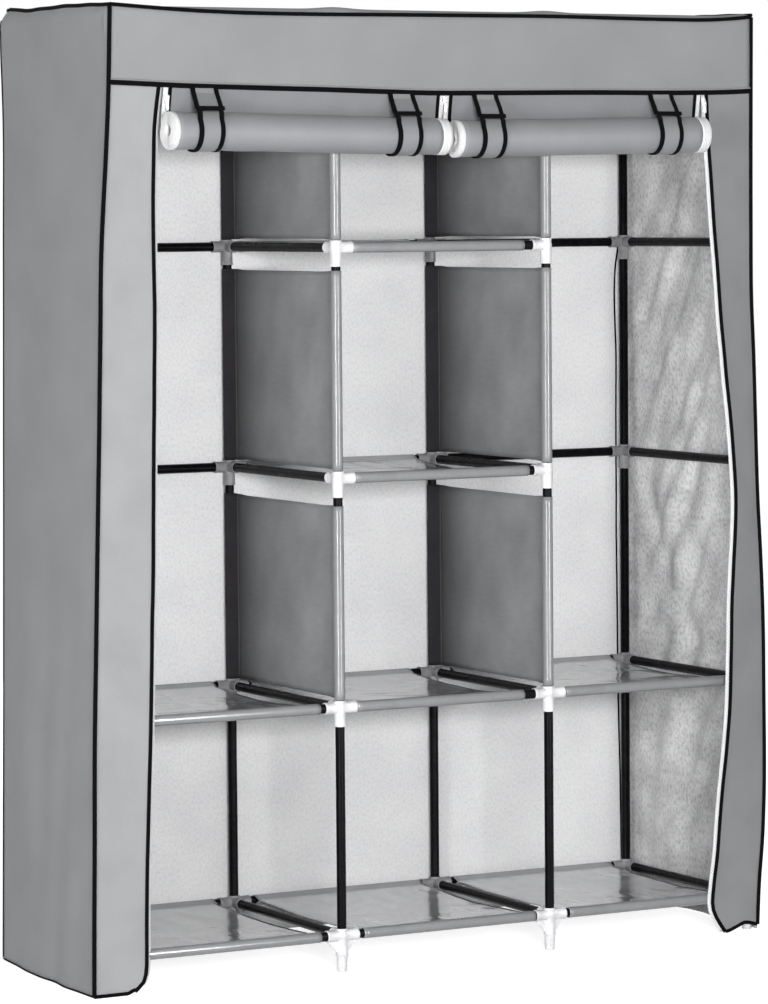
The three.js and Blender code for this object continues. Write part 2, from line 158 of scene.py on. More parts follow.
def add_node(tree, kind, inputs=None, out=0, **settings):
    """Adds a node and returns its output socket; inputs are values or the sockets that feed them."""
    node = tree.nodes.new(kind)
    for key, value in settings.items():
        setattr(node, key, value)
    for key, value in (inputs or {}).items():
        if isinstance(value, bpy.types.NodeSocket):
            tree.links.new(value, node.inputs[key])
        else:
            node.inputs[key].default_value = value
    return node.outputs[out] if len(node.outputs) else None


def new_material(name, coordinates):
    material = bpy.data.materials.new(name)
    material.use_nodes = True
    tree = material.node_tree
    tree.nodes.clear()
    return material, tree, add_node(tree, "ShaderNodeTexCoord", out=coordinates)


def finish_material(tree, colour, roughness, height, strength, distance_mm, **shader):
    """Bump from a height, into the shader, into the output."""
    bump = add_node(
        tree, "ShaderNodeBump", {"Height": height, "Strength": strength, "Distance": distance_mm * MM}
    )
    inputs = {"Base Color": colour, "Roughness": roughness, "Normal": bump, **shader}
    surface = add_node(tree, "ShaderNodeBsdfPrincipled", inputs)
    add_node(tree, "ShaderNodeOutputMaterial", {"Surface": surface})


def nonwoven(
    name, pale, deep, grain_mm, grain_share, cloud_mm, roughness, bump, sheen=0.1, stretch=1.0, painted_shade=None,
    flecks=(0.36, 0.66), specular=0.5, coat=0.0,
):
    """Spunbond polypropylene: fibres pressed flat with fine bond points, so the eye gets a matt, slightly
    cloudy felt. The grain is drawn coarser than the 1 mm bonds of the real cloth, so that it shows.
    The painted shade, given as (from, to, share), darkens the colour down the cloth: between these metres
    its tone sinks to that share. flecks is the range of the grain that turns from pale to deep: the higher
    it starts, the fewer deep flecks.
    coat is the weight of a glossy film on the cloth."""
    material, tree, coords = new_material(name, "UV")
    fibres = add_node(
        tree,
        "ShaderNodeMapping",
        {"Vector": coords, "Scale": (1000 / grain_mm, 1000 * stretch / grain_mm, 1000)},
    )
    grain = add_node(
        tree, "ShaderNodeTexNoise", {"Vector": fibres, "Scale": 1.0, "Detail": 4.0, "Roughness": 0.62}
    )
    cloud = add_node(tree, "ShaderNodeTexNoise", {"Vector": coords, "Scale": 1000 / cloud_mm, "Detail": 2.0})
    grain_tone = add_node(
        tree,
        "ShaderNodeMapRange",
        {"Value": grain, "From Min": flecks[0], "From Max": flecks[1], "To Min": 0.0, "To Max": grain_share},
    )
    cloud_tone = add_node(
        tree,
        "ShaderNodeMapRange",
        {"Value": cloud, "From Min": 0.3, "From Max": 0.72, "To Min": 0.0, "To Max": 1 - grain_share},
    )
    tone = add_node(tree, "ShaderNodeMath", {0: grain_tone, 1: cloud_tone}, operation="ADD")
    colour = add_node(
        tree, "ShaderNodeMix", {0: tone, 6: linear(pale), 7: linear(deep)}, out=2, data_type="RGBA"
    )
    # painted shade: the colour is darkened along the cloth between the given metres
    if painted_shade:
        run = add_node(tree, "ShaderNodeSeparateXYZ", {0: coords}, out=1)
        fall = add_node(
            tree,
            "ShaderNodeMapRange",
            {"Value": run, "From Min": painted_shade[0], "From Max": painted_shade[1], "To Min": 1.0, "To Max": painted_shade[2]},
            interpolation_type="SMOOTHSTEP",
        )
        colour = add_node(tree, "ShaderNodeVectorMath", {0: colour, 3: fall}, operation="SCALE")
    bonds = add_node(tree, "ShaderNodeTexVoronoi", {"Vector": coords, "Scale": 1000 / 1.8, "Randomness": 0.3})
    height = add_node(tree, "ShaderNodeMath", {0: bonds, 1: grain}, operation="ADD")
    rough = add_node(
        tree, "ShaderNodeMapRange", {"Value": grain, "To Min": roughness - 0.07, "To Max": roughness + 0.07}
    )
    shader = {"Sheen Weight": sheen, "Sheen Roughness": 0.5, "Specular IOR Level": specular}
    shader |= {"Coat Weight": coat, "Coat Roughness": 0.12}
    finish_material(tree, colour, rough, height, bump, 0.35, **shader)
    return material


def woven_band(name, pale, deep, pitch_mm, roughness, bump=0.5, specular=0.5):
    """Narrow woven polyester: ribs across the band with a little fuzz, so its edge glints less than plastic."""
    material, tree, coords = new_material(name, "Object")
    ribs = add_node(
        tree,
        "ShaderNodeTexWave",
        {"Vector": coords, "Scale": 1000 / (math.tau * pitch_mm), "Distortion": 0.4, "Detail": 1.0},
        out="Fac",
        bands_direction="DIAGONAL",
    )
    fuzz = add_node(
        tree, "ShaderNodeTexNoise", {"Vector": coords, "Scale": 1000 / (0.8 * pitch_mm), "Detail": 2.0}
    )
    height = add_node(tree, "ShaderNodeMath", {0: ribs, 1: fuzz}, operation="ADD")
    tone = add_node(tree, "ShaderNodeMapRange", {"Value": height, "From Min": 0.4, "From Max": 1.4})
    colour = add_node(
        tree, "ShaderNodeMix", {0: tone, 6: linear(deep), 7: linear(pale)}, out=2, data_type="RGBA"
    )
    rough = add_node(
        tree, "ShaderNodeMapRange", {"Value": fuzz, "To Min": roughness - 0.06, "To Max": roughness + 0.06}
    )
    glint = {"Sheen Weight": 0.3 * specular, "Specular IOR Level": specular}
    finish_material(tree, colour, rough, height, bump, 0.25, **glint)
    return material


def coated_steel(name):
    """Powder-coated steel tube: black and glossy, with a faint orange peel and a few duller rubs."""
    material, tree, coords = new_material(name, "Object")
    peel = add_node(tree, "ShaderNodeTexNoise", {"Vector": coords, "Scale": 1000 / 2.2, "Detail": 2.0})
    rub = add_node(
        tree, "ShaderNodeTexNoise", {"Vector": coords, "Scale": 1000 / 45, "Detail": 4.0, "Roughness": 0.65}
    )
    tone = add_node(tree, "ShaderNodeMapRange", {"Value": rub, "From Min": 0.35, "From Max": 0.8})
    colour = add_node(
        tree, "ShaderNodeMix", {0: tone, 6: linear("#08070a"), 7: linear("#100f12")}, out=2, data_type="RGBA"
    )
    rough = add_node(tree, "ShaderNodeMapRange", {"Value": tone, "To Min": 0.24, "To Max": 0.34})
    finish_material(tree, colour, rough, peel, 0.1, 0.1, IOR=1.5, **{"Specular IOR Level": 0.07})
    return material


def moulded_plastic(name, pale, deep, roughness):
    """Injection-moulded polypropylene: milky and waxy, with a soft flow tone and fine grit from the mould."""
    material, tree, coords = new_material(name, "Object")
    flow = add_node(tree, "ShaderNodeTexNoise", {"Vector": coords, "Scale": 1000 / 14, "Detail": 2.0})
    grit = add_node(tree, "ShaderNodeTexNoise", {"Vector": coords, "Scale": 1000 / 0.9, "Detail": 2.0})
    tone = add_node(tree, "ShaderNodeMapRange", {"Value": flow, "From Min": 0.3, "From Max": 0.7})
    colour = add_node(
        tree, "ShaderNodeMix", {0: tone, 6: linear(pale), 7: linear(deep)}, out=2, data_type="RGBA"
    )
    rough = add_node(
        tree, "ShaderNodeMapRange", {"Value": grit, "To Min": roughness - 0.07, "To Max": roughness + 0.07}
    )
    finish_material(tree, colour, rough, grit, 0.1, 0.1, IOR=1.49)
    return material


def plated_metal(name):
    """Nickel-plated zinc casting: bright, with fine tumbling marks that soften the gleam."""
    material, tree, coords = new_material(name, "Object")
    marks = add_node(tree, "ShaderNodeTexNoise", {"Vector": coords, "Scale": 1000 / 1.2, "Detail": 3.0})
    colour = add_node(
        tree, "ShaderNodeMix", {0: marks, 6: linear("#c9c8cb"), 7: linear("#e2e2e4")}, out=2, data_type="RGBA"
    )
    rough = add_node(tree, "ShaderNodeMapRange", {"Value": marks, "To Min": 0.18, "To Max": 0.36})
    finish_material(tree, colour, rough, marks, 0.08, 0.1, Metallic=1.0)
    return material


OUTSIDE = {"grain_mm": 3.0, "grain_share": 0.2, "roughness": 0.78, "bump": 0.25}
ROLLED = {"grain_mm": 3.0, "grain_share": 0.25, "cloud_mm": 90, "bump": 0.25}
INSIDE = {"roughness": 0.7, "bump": 1.0}
LAMINATED = {
    "grain_mm": 5.0, "grain_share": 0.2, "cloud_mm": 160, "roughness": 0.16, "bump": 0.04, "sheen": 0.0,
}
cover_outside = nonwoven("grey_spunbond_outside", "#98999b", "#8b8c8e", cloud_mm=170, **OUTSIDE)
# Lighter and darker copies of the outside cloth: painted light on the left strip, painted shade on the right
# one
lit_left_strip_cloth = nonwoven("grey_spunbond_left_strip_painted_light", "#a7a8aa", "#999a9c", cloud_mm=120, **OUTSIDE)
shaded_right_strip_cloth = nonwoven("grey_spunbond_right_strip_painted_shade", "#8d8e90", "#7f8082", cloud_mm=120, **OUTSIDE)
# Its tone darkens towards the bottom: painted shade
cover_inside = nonwoven(
    "pale_spunbond_inside_painted_shade", "#ffffff", "#dfdfe3", grain_mm=4.2, grain_share=0.7, cloud_mm=110, stretch=0.7,
    painted_shade=(0.9, 1.6, 0.84), flecks=(0.43, 0.8), **INSIDE,
)
# Its tone darkens towards the bottom: painted shade
side_inside = nonwoven(
    "mottled_spunbond_inside_painted_shade", "#ffffff", "#7e7e82", grain_mm=5.0, grain_share=0.6, cloud_mm=70, stretch=0.55,
    painted_shade=(0.9, 1.5, 0.72), flecks=(0.44, 0.78), **INSIDE,
)
door_cloth = nonwoven("grey_spunbond_door", "#949598", "#88898c", roughness=0.6, **ROLLED)
# A darker copy of the door cloth: painted shade on the flap
shaded_flap_cloth = nonwoven("grey_spunbond_flap_painted_shade", "#898a8d", "#7e7f82", roughness=0.7, **ROLLED)
strap_cloth = nonwoven(
    "grey_spunbond_strap", "#909194", "#858689", grain_mm=2.0, grain_share=0.4, cloud_mm=30, roughness=0.7,
    bump=0.25,
)
shelf_cloth = nonwoven("laminated_spunbond_shelf", "#c2c3c5", "#aeafb1", coat=0.6, **LAMINATED)
shaded_shelf_cloth = nonwoven("laminated_spunbond_shaded_shelf", "#999a9c", "#88898b", coat=0.3, **LAMINATED)
shelf_under = nonwoven(
    "laminated_spunbond_underside", "#8b8c8e", "#7d7e80", grain_mm=4.0, grain_share=0.4, cloud_mm=120,
    roughness=0.6, bump=0.2,
)
# Its tone darkens strongly towards the back post: painted shade
divider_cloth = nonwoven(
    "grey_spunbond_divider_painted_shade", "#98999b", "#7f8082", grain_mm=6.0, grain_share=0.15, cloud_mm=110, roughness=0.55,
    bump=0.2, sheen=0.0, stretch=0.2, painted_shade=(0.31, 0.44, 0.2),
)
# The dividers' back sleeve, drawn near black: painted shade
shaded_back_sleeve_cloth = nonwoven(
    "back_sleeve_spunbond_painted_shade", "#39373b", "#2f2d31", grain_mm=4.0, grain_share=0.3, cloud_mm=60, roughness=0.7,
    bump=0.2, sheen=0.0, stretch=0.3, specular=0.1,
)
sleeve_cloth = nonwoven(
    "pulled_spunbond_sleeve", "#98999b", "#88898b", grain_mm=3.0, grain_share=0.3, cloud_mm=60, roughness=0.14,
    bump=0.05, sheen=0.0, stretch=0.2,
)
binding_band = woven_band(
    "black_woven_binding", "#0d0c0e", "#070608", pitch_mm=1.6, roughness=0.8, specular=0.04
)
tape_band = woven_band("white_woven_zip_tape", "#fafafa", "#dcdcde", pitch_mm=1.4, roughness=0.7)
pale_thread = woven_band("pale_spun_thread", "#c6c6c8", "#a4a4a6", pitch_mm=0.9, roughness=0.6)
coil_nylon = moulded_plastic("white_nylon_coil", "#fafafb", "#ececee", 0.35)
black_steel = coated_steel("black_powder_coated_steel")
white_plastic = moulded_plastic("milky_moulded_polypropylene", "#f4f4f6", "#e3e3e6", 0.36)
# The back connectors' white plastic drawn grey: painted shade
shaded_back_plastic = moulded_plastic("moulded_polypropylene_painted_shade", "#98989b", "#808083", 0.36)
nickel = plated_metal("nickel_plated_zinc")


# ---------------------------------------------------------------- making meshes
def linked(name, data):
    """A new object in the scene."""
    thing = bpy.data.objects.new(name, data)
    bpy.context.scene.collection.objects.link(thing)
    return thing


def mesh_piece(name, points, faces, materials, face_materials=None, uvs=None):
    """A piece from points in the wardrobe's millimetres."""
    mesh = bpy.data.meshes.new(name)
    mesh.from_pydata(placed(points).tolist(), [], faces)
    for material in materials:
        mesh.materials.append(material)
    if face_materials is not None:
        mesh.polygons.foreach_set("material_index", np.asarray(face_materials, np.int32))
    if uvs is not None:
        layer = mesh.uv_layers.new(name="cloth")
        loops = np.empty(len(mesh.loops), np.int32)
        mesh.loops.foreach_get("vertex_index", loops)
        layer.data.foreach_set("uv", np.asarray(uvs, float)[loops].ravel())
    mesh.polygons.foreach_set("use_smooth", np.ones(len(mesh.polygons), bool))
    mesh.update()
    return linked(name, mesh)


def spread(count, crowd=0.0):
    """Shares from 0 to 1, crowded towards both ends."""
    even = np.linspace(0, 1, count + 1)
    return even - crowd * np.sin(even * math.tau) / math.tau


def measures(points):
    """Flat width and length in metres, and the area, of a grid of points."""
    wide = np.linalg.norm(np.diff(points, axis=1), axis=-1).sum(axis=1).max()
    long = np.linalg.norm(np.diff(points, axis=0), axis=-1).sum(axis=0).max()
    cross = np.cross(points[1:, 1:] - points[:-1, :-1], points[1:, :-1] - points[:-1, 1:])
    area = np.linalg.norm(cross, axis=-1).sum() / 2
    return wide * MM, long * MM, area * MM * MM


def points_of(place, u, v):
    """The points that a place function gives for shares u across and v down."""
    return np.stack(np.broadcast_arrays(*place(u, v)), axis=-1).astype(float)


def run_along(points):
    """Distance from the first point to each of the others, along the line."""
    return np.concatenate([[0], np.cumsum(np.linalg.norm(np.diff(points, axis=0), axis=1))])


def cloth(name, place, across, down, outward, materials, bands=None, thickness=CLOTH):
    """Closed sheet of cloth. place(u, v) gives its middle; the first two materials are its outer and inner
    face, and bands(u, v) picks others by index. Returns the piece and its flat measures."""
    u, v = np.meshgrid(across, down)
    points = points_of(place, u, v)
    normal = np.cross(np.gradient(points, axis=1), np.gradient(points, axis=0))
    normal /= np.maximum(np.linalg.norm(normal, axis=-1, keepdims=True), 1e-9)
    turned = np.dot(normal[len(down) // 2, len(across) // 2], outward) < 0
    if turned:
        normal = -normal
    rows, columns = u.shape
    size = rows * columns
    index = np.arange(size).reshape(rows, columns)
    quads = np.stack([index[:-1, :-1], index[1:, :-1], index[1:, 1:], index[:-1, 1:]], axis=-1).reshape(-1, 4)
    outer = quads[:, ::-1] if turned else quads
    inner = (quads if turned else quads[:, ::-1]) + size
    rim = np.concatenate([index[0, :], index[1:, -1], index[-1, -2::-1], index[-2:0:-1, 0]])
    after = np.roll(rim, -1)
    walls = np.stack([rim, after, after + size, rim + size], axis=-1)
    walls = walls[:, ::-1] if turned else walls
    wide, long, area = measures(points)
    flat = np.stack([u * wide, v * long], axis=-1).reshape(-1, 2)
    pick = np.zeros(len(quads), int)
    if bands:
        pick = bands((u[:-1, :-1] + u[1:, 1:]) / 2, (v[:-1, :-1] + v[1:, 1:]) / 2).reshape(-1).astype(int)
    picks = np.concatenate([pick, np.where(pick > 1, pick, 1), np.zeros(len(walls), int)])
    layers = np.concatenate([points + normal * thickness / 2, points - normal * thickness / 2])
    faces = np.concatenate([outer, inner, walls]).tolist()
    piece = mesh_piece(name, layers.reshape(-1, 3), faces, materials, picks, np.concatenate([flat, flat]))
    fix_normals(piece)
    return piece, (wide, long, area)


def fix_normals(piece):
    bm = bmesh.new()
    bm.from_mesh(piece.data)
    bmesh.ops.recalc_face_normals(bm, faces=bm.faces)
    bm.to_mesh(piece.data)
    bm.free()


def sweep(name, path, side, profile, material):
    """A closed profile run along a path; side is the direction of the profile's first axis."""
    path = np.asarray(path, float)
    tangent = np.gradient(path, axis=0)
    tangent /= np.linalg.norm(tangent, axis=1, keepdims=True)
    up = np.cross(np.broadcast_to(np.asarray(side, float), path.shape), tangent)
    up /= np.linalg.norm(up, axis=1, keepdims=True)
    first = np.cross(tangent, up)
    profile = np.asarray(profile, float)
    rings = path[:, None] + first[:, None] * profile[None, :, :1] + up[:, None] * profile[None, :, 1:]
    rows, columns = len(path), len(profile)
    index = np.arange(rows * columns).reshape(rows, columns)
    after = np.roll(index, -1, axis=1)
    quads = np.stack([index[:-1], after[:-1], after[1:], index[1:]], axis=-1).reshape(-1, 4).tolist()
    piece = mesh_piece(
        name, rings.reshape(-1, 3), quads + [index[0, ::-1].tolist(), index[-1].tolist()], [material]
    )
    fix_normals(piece)
    piece.data.set_sharp_from_angle(angle=math.radians(60))
    return piece


def rounded(width, height, corner, steps=3):
    """Outline of a bar with rounded corners, about its middle."""
    outline = []
    for quarter, (sx, sy) in enumerate(((1, 1), (-1, 1), (-1, -1), (1, -1))):
        for angle in (math.pi / 2 * (quarter + step / steps) for step in range(steps + 1)):
            x, y = sx * (width / 2 - corner), sy * (height / 2 - corner)
            outline.append((x + corner * math.cos(angle), y + corner * math.sin(angle)))
    return outline


def lathe(profile, segments=28):
    """Closed shape turned about Z from (radius, height) pairs that start and end on the axis."""
    bm = bmesh.new()
    rings = []
    for radius, height in profile:
        angles = [math.tau * i / segments for i in (range(segments) if radius else range(1))]
        rings.append([bm.verts.new((radius * math.cos(a), radius * math.sin(a), height)) for a in angles])
    for low, high in zip(rings, rings[1:]):
        for i in range(segments):
            j = (i + 1) % segments
            corners = [low[i % len(low)], low[j % len(low)], high[j % len(high)], high[i % len(high)]]
            bm.faces.new(list(dict.fromkeys(corners)))
    bmesh.ops.recalc_face_normals(bm, faces=bm.faces)
    return bm


def prism(*ends):
    """Closed shape between two equal rings of points."""
    bm = bmesh.new()
    first, second = ([bm.verts.new(point) for point in ring] for ring in ends)
    bm.faces.new(first)
    bm.faces.new(second[::-1])
    for i in range(len(first)):
        j = (i + 1) % len(first)
        bm.faces.new((first[i], second[i], second[j], first[j]))
    bmesh.ops.recalc_face_normals(bm, faces=bm.faces)
    return bm


def extruded(outline, low, high, bevel):
    """Closed plate from an (x, z) outline, between two y values, with softened edges."""
    bm = prism([(x, high, z) for x, z in outline], [(x, low, z) for x, z in outline])
    edges = [e for e in bm.edges if abs(e.verts[0].co.y - e.verts[1].co.y) < 1e-6]
    bmesh.ops.bevel(bm, geom=edges, offset=bevel, segments=2, affect="EDGES", profile=0.5)
    return bm


def bm_piece(name, shapes, material, sharp=38):
    """One piece from bmesh shapes in millimetres, each with its matrix."""
    whole = bmesh.new()
    for shape, matrix in shapes:
        scratch = bpy.data.meshes.new(name + "_scratch")
        shape.to_mesh(scratch)
        scratch.transform(matrix)
        whole.from_mesh(scratch)
        bpy.data.meshes.remove(scratch)
    bmesh.ops.recalc_face_normals(whole, faces=whole.faces)
    mesh = bpy.data.meshes.new(name)
    whole.to_mesh(mesh)
    whole.free()
    mesh.transform(Matrix.Translation(Vector(SHIFT)) @ Matrix.Scale(MM, 4))
    mesh.materials.append(material)
    mesh.polygons.foreach_set("use_smooth", np.ones(len(mesh.polygons), bool))
    mesh.set_sharp_from_angle(angle=math.radians(sharp))
    return linked(name, mesh)


def joined(name, parts):
    """Several pieces as one, with their own materials."""
    with bpy.context.temp_override(
        active_object=parts[0], object=parts[0], selected_objects=parts, selected_editable_objects=parts
    ):
        bpy.ops.object.join()
    parts[0].name = parts[0].data.name = name
    return parts[0]


def waves(seed, longest, shortest, count=14):
    """Soft waves of mixed lengths and directions, from about -1 to 1, always the same for one seed."""
    rng = np.random.default_rng(seed)
    lengths = np.geomspace(longest, shortest, count)
    angles = rng.uniform(0, math.pi, count)
    phases = rng.uniform(0, math.tau, count)
    weights = lengths / lengths.sum() * 1.6

    def wave(a, b):
        return sum(
            weight * np.sin((a * math.cos(angle) + b * math.sin(angle)) * math.tau / length + phase)
            for length, angle, phase, weight in zip(lengths, angles, phases, weights)
        )

    return wave


def table(*rows):
    """A smooth curve through rows of (key, value) with rising keys."""
    keys, values = np.array(rows, float).T
    slopes = np.gradient(values, keys)

    def look(x):
        x = np.clip(np.asarray(x, float), keys[0], keys[-1])
        low = np.clip(np.searchsorted(keys, x, side="right") - 1, 0, len(keys) - 2)
        span = keys[low + 1] - keys[low]
        t = (x - keys[low]) / span
        return (
            (2 * t**3 - 3 * t**2 + 1) * values[low]
            + (t**3 - 2 * t**2 + t) * span * slopes[low]
            + (3 * t**2 - 2 * t**3) * values[low + 1]
            + (t**3 - t**2) * span * slopes[low + 1]
        )

    return look


def smooth(share):
    share = np.clip(share, 0, 1)
    return share * share * (3 - 2 * share)


def polyline(points, count):
    """Even points along a polyline, with its corners."""
    points = np.asarray(points, float)
    run = run_along(points)
    stops = np.unique(np.concatenate([np.linspace(0, run[-1], count), run]))
    return np.stack([np.interp(stops, run, points[:, axis]) for axis in range(points.shape[1])], axis=1)


# ---------------------------------------------------------------- geometry nodes
def new_tree(name, inputs):
    """A geometry tree whose first input is the wire; returns the tree, its input sockets and identifiers."""
    tree = bpy.data.node_groups.new(name, "GeometryNodeTree")
    tree.interface.new_socket(name="Wire", in_out="INPUT", socket_type="NodeSocketGeometry")
    keys = {}
    for label, kind in {**inputs, "Material": "NodeSocketMaterial"}.items():
        keys[label] = tree.interface.new_socket(name=label, in_out="INPUT", socket_type=kind).identifier
    tree.interface.new_socket(name="Geometry", in_out="OUTPUT", socket_type="NodeSocketGeometry")
    return tree, tree.nodes.new("NodeGroupInput").outputs, keys


def end_tree(tree, geometry, given):
    real = add_node(tree, "GeometryNodeRealizeInstances", {"Geometry": geometry})
    shaded = add_node(tree, "GeometryNodeSetShadeSmooth", {"Geometry": real})
    dressed = add_node(tree, "GeometryNodeSetMaterial", {"Geometry": shaded, "Material": given["Material"]})
    add_node(tree, "NodeGroupOutput", {"Geometry": dressed})


def tube_tree():
    """A round tube or cord along each wire, closed at both ends."""
    tree, given, keys = new_tree("tube_along_wire", {"Radius": "NodeSocketFloat", "Sides": "NodeSocketInt"})
    curve = add_node(tree, "GeometryNodeMeshToCurve", {"Mesh": given["Wire"]})
    ring = add_node(
        tree, "GeometryNodeCurvePrimitiveCircle", {"Resolution": given["Sides"], "Radius": given["Radius"]}
    )
    tube = add_node(
        tree, "GeometryNodeCurveToMesh", {"Curve": curve, "Profile Curve": ring, "Fill Caps": True}
    )
    end_tree(tree, tube, given)
    return tree, keys


def bead_tree():
    """Small rounded beads laid end to end along each wire: stitches, or the turns of a zip's coil."""
    sizes = {"Pitch": "NodeSocketFloat", "Length": "NodeSocketFloat", "Width": "NodeSocketFloat"}
    tree, given, keys = new_tree("beads_along_wire", sizes)
    curve = add_node(tree, "GeometryNodeMeshToCurve", {"Mesh": given["Wire"]})
    points = add_node(
        tree, "GeometryNodeResampleCurve", {"Curve": curve, "Length": given["Pitch"]}, mode="LENGTH"
    )
    bead = add_node(tree, "GeometryNodeMeshUVSphere", {"Segments": 6, "Rings": 4, "Radius": 0.5})
    tangent = add_node(tree, "GeometryNodeInputTangent")
    turn = add_node(tree, "FunctionNodeAlignRotationToVector", {"Vector": tangent}, axis="X")
    scale = add_node(
        tree, "ShaderNodeCombineXYZ", {"X": given["Length"], "Y": given["Width"], "Z": given["Width"]}
    )
    beads_laid = add_node(
        tree,
        "GeometryNodeInstanceOnPoints",
        {"Points": points, "Instance": bead, "Rotation": turn, "Scale": scale},
    )
    end_tree(tree, beads_laid, given)
    return tree, keys


TUBES = tube_tree()
BEADS = bead_tree()


def grown(name, wires, tree_and_keys, **inputs):
    """What a tree grows along wires, as a plain mesh."""
    tree, keys = tree_and_keys
    points, edges = [], []
    for wire in wires:
        edges += [(len(points) + i, len(points) + i + 1) for i in range(len(wire) - 1)]
        points += [tuple(p) for p in wire]
    mesh = bpy.data.meshes.new(name + "_wire")
    mesh.from_pydata(placed(points).tolist(), edges, [])
    wire_object = linked(name + "_wire", mesh)
    modifier = wire_object.modifiers.new("grow", "NODES")
    modifier.node_group = tree
    for label, value in inputs.items():
        modifier[keys[label]] = value
    bpy.context.view_layer.update()
    seen = wire_object.evaluated_get(bpy.context.evaluated_depsgraph_get())
    result = bpy.data.meshes.new_from_object(seen)
    result.name = name
    bpy.data.objects.remove(wire_object)
    piece = linked(name, result)
    fix_normals(piece)
    return piece


def cord(name, wires, radius, material, sides=10):
    return grown(name, wires, TUBES, Radius=radius * MM, Sides=sides, Material=material)


def beads(name, wires, material, pitch=4.5, length=3.2, width=0.8):
    return grown(name, wires, BEADS, Pitch=pitch * MM, Length=length * MM, Width=width * MM, Material=material)


def stitches(name, rows):
    """Pale stitches along the rows."""
    return beads(name, rows, pale_thread, 5.0, 3.4, 0.9)


def zip_coil(name, line):
    """The turns of a zip's coil along a line."""
    return beads(name, [line], coil_nylon, 2.4, 1.7, 2.4)


def on_body(piece, body, slot, *replaced):
    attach(piece, body)
    if replaced:
        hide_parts(*replaced)
    return piece


def declare(piece, flat, held, rests_on, with_pieces=()):
    wide, long, area = flat
    list(with_pieces)
    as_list(rests_on)


# ---------------------------------------------------------------- frame: tubes, connectors, feet
def across_bay(bay, y, z):
    """Ends of a tube from one column's connector to the next one's."""
    return [(COLUMNS[bay] + TUBE_START, y, z), (COLUMNS[bay + 1] - TUBE_START, y, z)]


def level_tubes(level):
    z = LEVELS[level]
    wires = [across_bay(bay, FRONT, z) for bay in FRONT_BAYS[level]]
    wires += [across_bay(bay, BACK, z) for bay in range(3)]
    wires += [[(x, FRONT + TUBE_START, z), (x, BACK - TUBE_START, z)] for x in COLUMNS]
    return cord(f"{LEVEL_NAMES[level]}_level_tubes", wires, TUBE, black_steel, TUBE_SIDES)


def arm(length):
    """Socket along +Z from the hub's middle, with a rounded lip and a recess round the tube at its mouth."""
    lip = [(0.5, 3.6), (0.6, 1.2), (0.1, 0), (-1.1, 0)]
    profile = [(0, 0), (SOCKET, 0), (SOCKET, length - 4.5)]
    profile += [(SOCKET + out, length - below) for out, below in lip]
    return lathe(profile + [(TUBE + 0.3, length - 1), (TUBE + 0.2, length - 3), (0, length - 3)])


def gusset(direction):
    """Thin web under a socket of the bottom connectors, seen as a small white triangle."""
    along_it = Vector(direction)
    aside = Vector((0, 0, 1)).cross(along_it) * 1.3
    outline = ((6, -6), (27, -7), (27, -10.5), (9, -30), (6, -30))
    ring = [along_it * reach + Vector((0, 0, z)) for reach, z in outline]
    return prism([point + aside for point in ring], [point - aside for point in ring])


TURNS = {
    (1, 0, 0): Matrix.Rotation(math.pi / 2, 4, "Y"),
    (-1, 0, 0): Matrix.Rotation(-math.pi / 2, 4, "Y"),
    (0, 1, 0): Matrix.Rotation(-math.pi / 2, 4, "X"),
    (0, -1, 0): Matrix.Rotation(math.pi / 2, 4, "X"),
    (0, 0, 1): Matrix.Identity(4),
    (0, 0, -1): Matrix.Rotation(math.pi, 4, "X"),
}


def combined(shapes, operation="UNION"):
    """Union of closed shapes, or with DIFFERENCE the first one less the others, as a new bmesh."""
    holder = bpy.data.collections.new("other_shapes")
    objects = []
    for number, (shape, matrix) in enumerate(shapes):
        mesh = bpy.data.meshes.new(f"shape_{number}")
        shape.to_mesh(mesh)
        mesh.transform(matrix)
        objects.append(bpy.data.objects.new(f"shape_{number}", mesh))
        (bpy.context.scene.collection if number == 0 else holder).objects.link(objects[-1])
    modifier = objects[0].modifiers.new("combine", "BOOLEAN")
    modifier.operation, modifier.solver, modifier.operand_type = operation, "EXACT", "COLLECTION"
    modifier.collection = holder
    bpy.context.view_layer.update()
    seen = objects[0].evaluated_get(bpy.context.evaluated_depsgraph_get())
    result = bmesh.new()
    result.from_mesh(seen.to_mesh())
    for thing in objects:
        bpy.data.objects.remove(thing)
    bpy.data.collections.remove(holder)
    return result


def hub_ball():
    steps = 14
    ring = [
        (HUB * math.sin(math.pi * i / steps) if 0 < i < steps else 0, -HUB * math.cos(math.pi * i / steps))
        for i in range(steps + 1)
    ]
    return lathe(ring, 26)


def connector(directions, gusseted):
    """Ball with a socket in each direction. The ball is turned, so that none of its edges lies in a socket."""
    shapes = [(hub_ball(), Matrix.Rotation(0.31, 4, (1, 2, 3)))]
    for direction in directions:
        reach = {1: SOCKET_ABOVE + 2, -1: SOCKET_BELOW}.get(direction[2], SOCKET_REACH)
        shapes.append((arm(reach), TURNS[direction]))
        if gusseted and direction[2] == 0:
            shapes.append((gusset(direction), Matrix.Identity(4)))
    return combined(shapes)


def tee(direction):
    """Clip-on tee round a top depth tube, which holds the end of the hanging rail."""
    reaches = {(0, 1, 0): 20, (0, -1, 0): 20, direction: SOCKET_REACH}
    return combined([(arm(reach), TURNS[way]) for way, reach in reaches.items()])


CONNECTORS = {}  # shapes made so far, by their directions


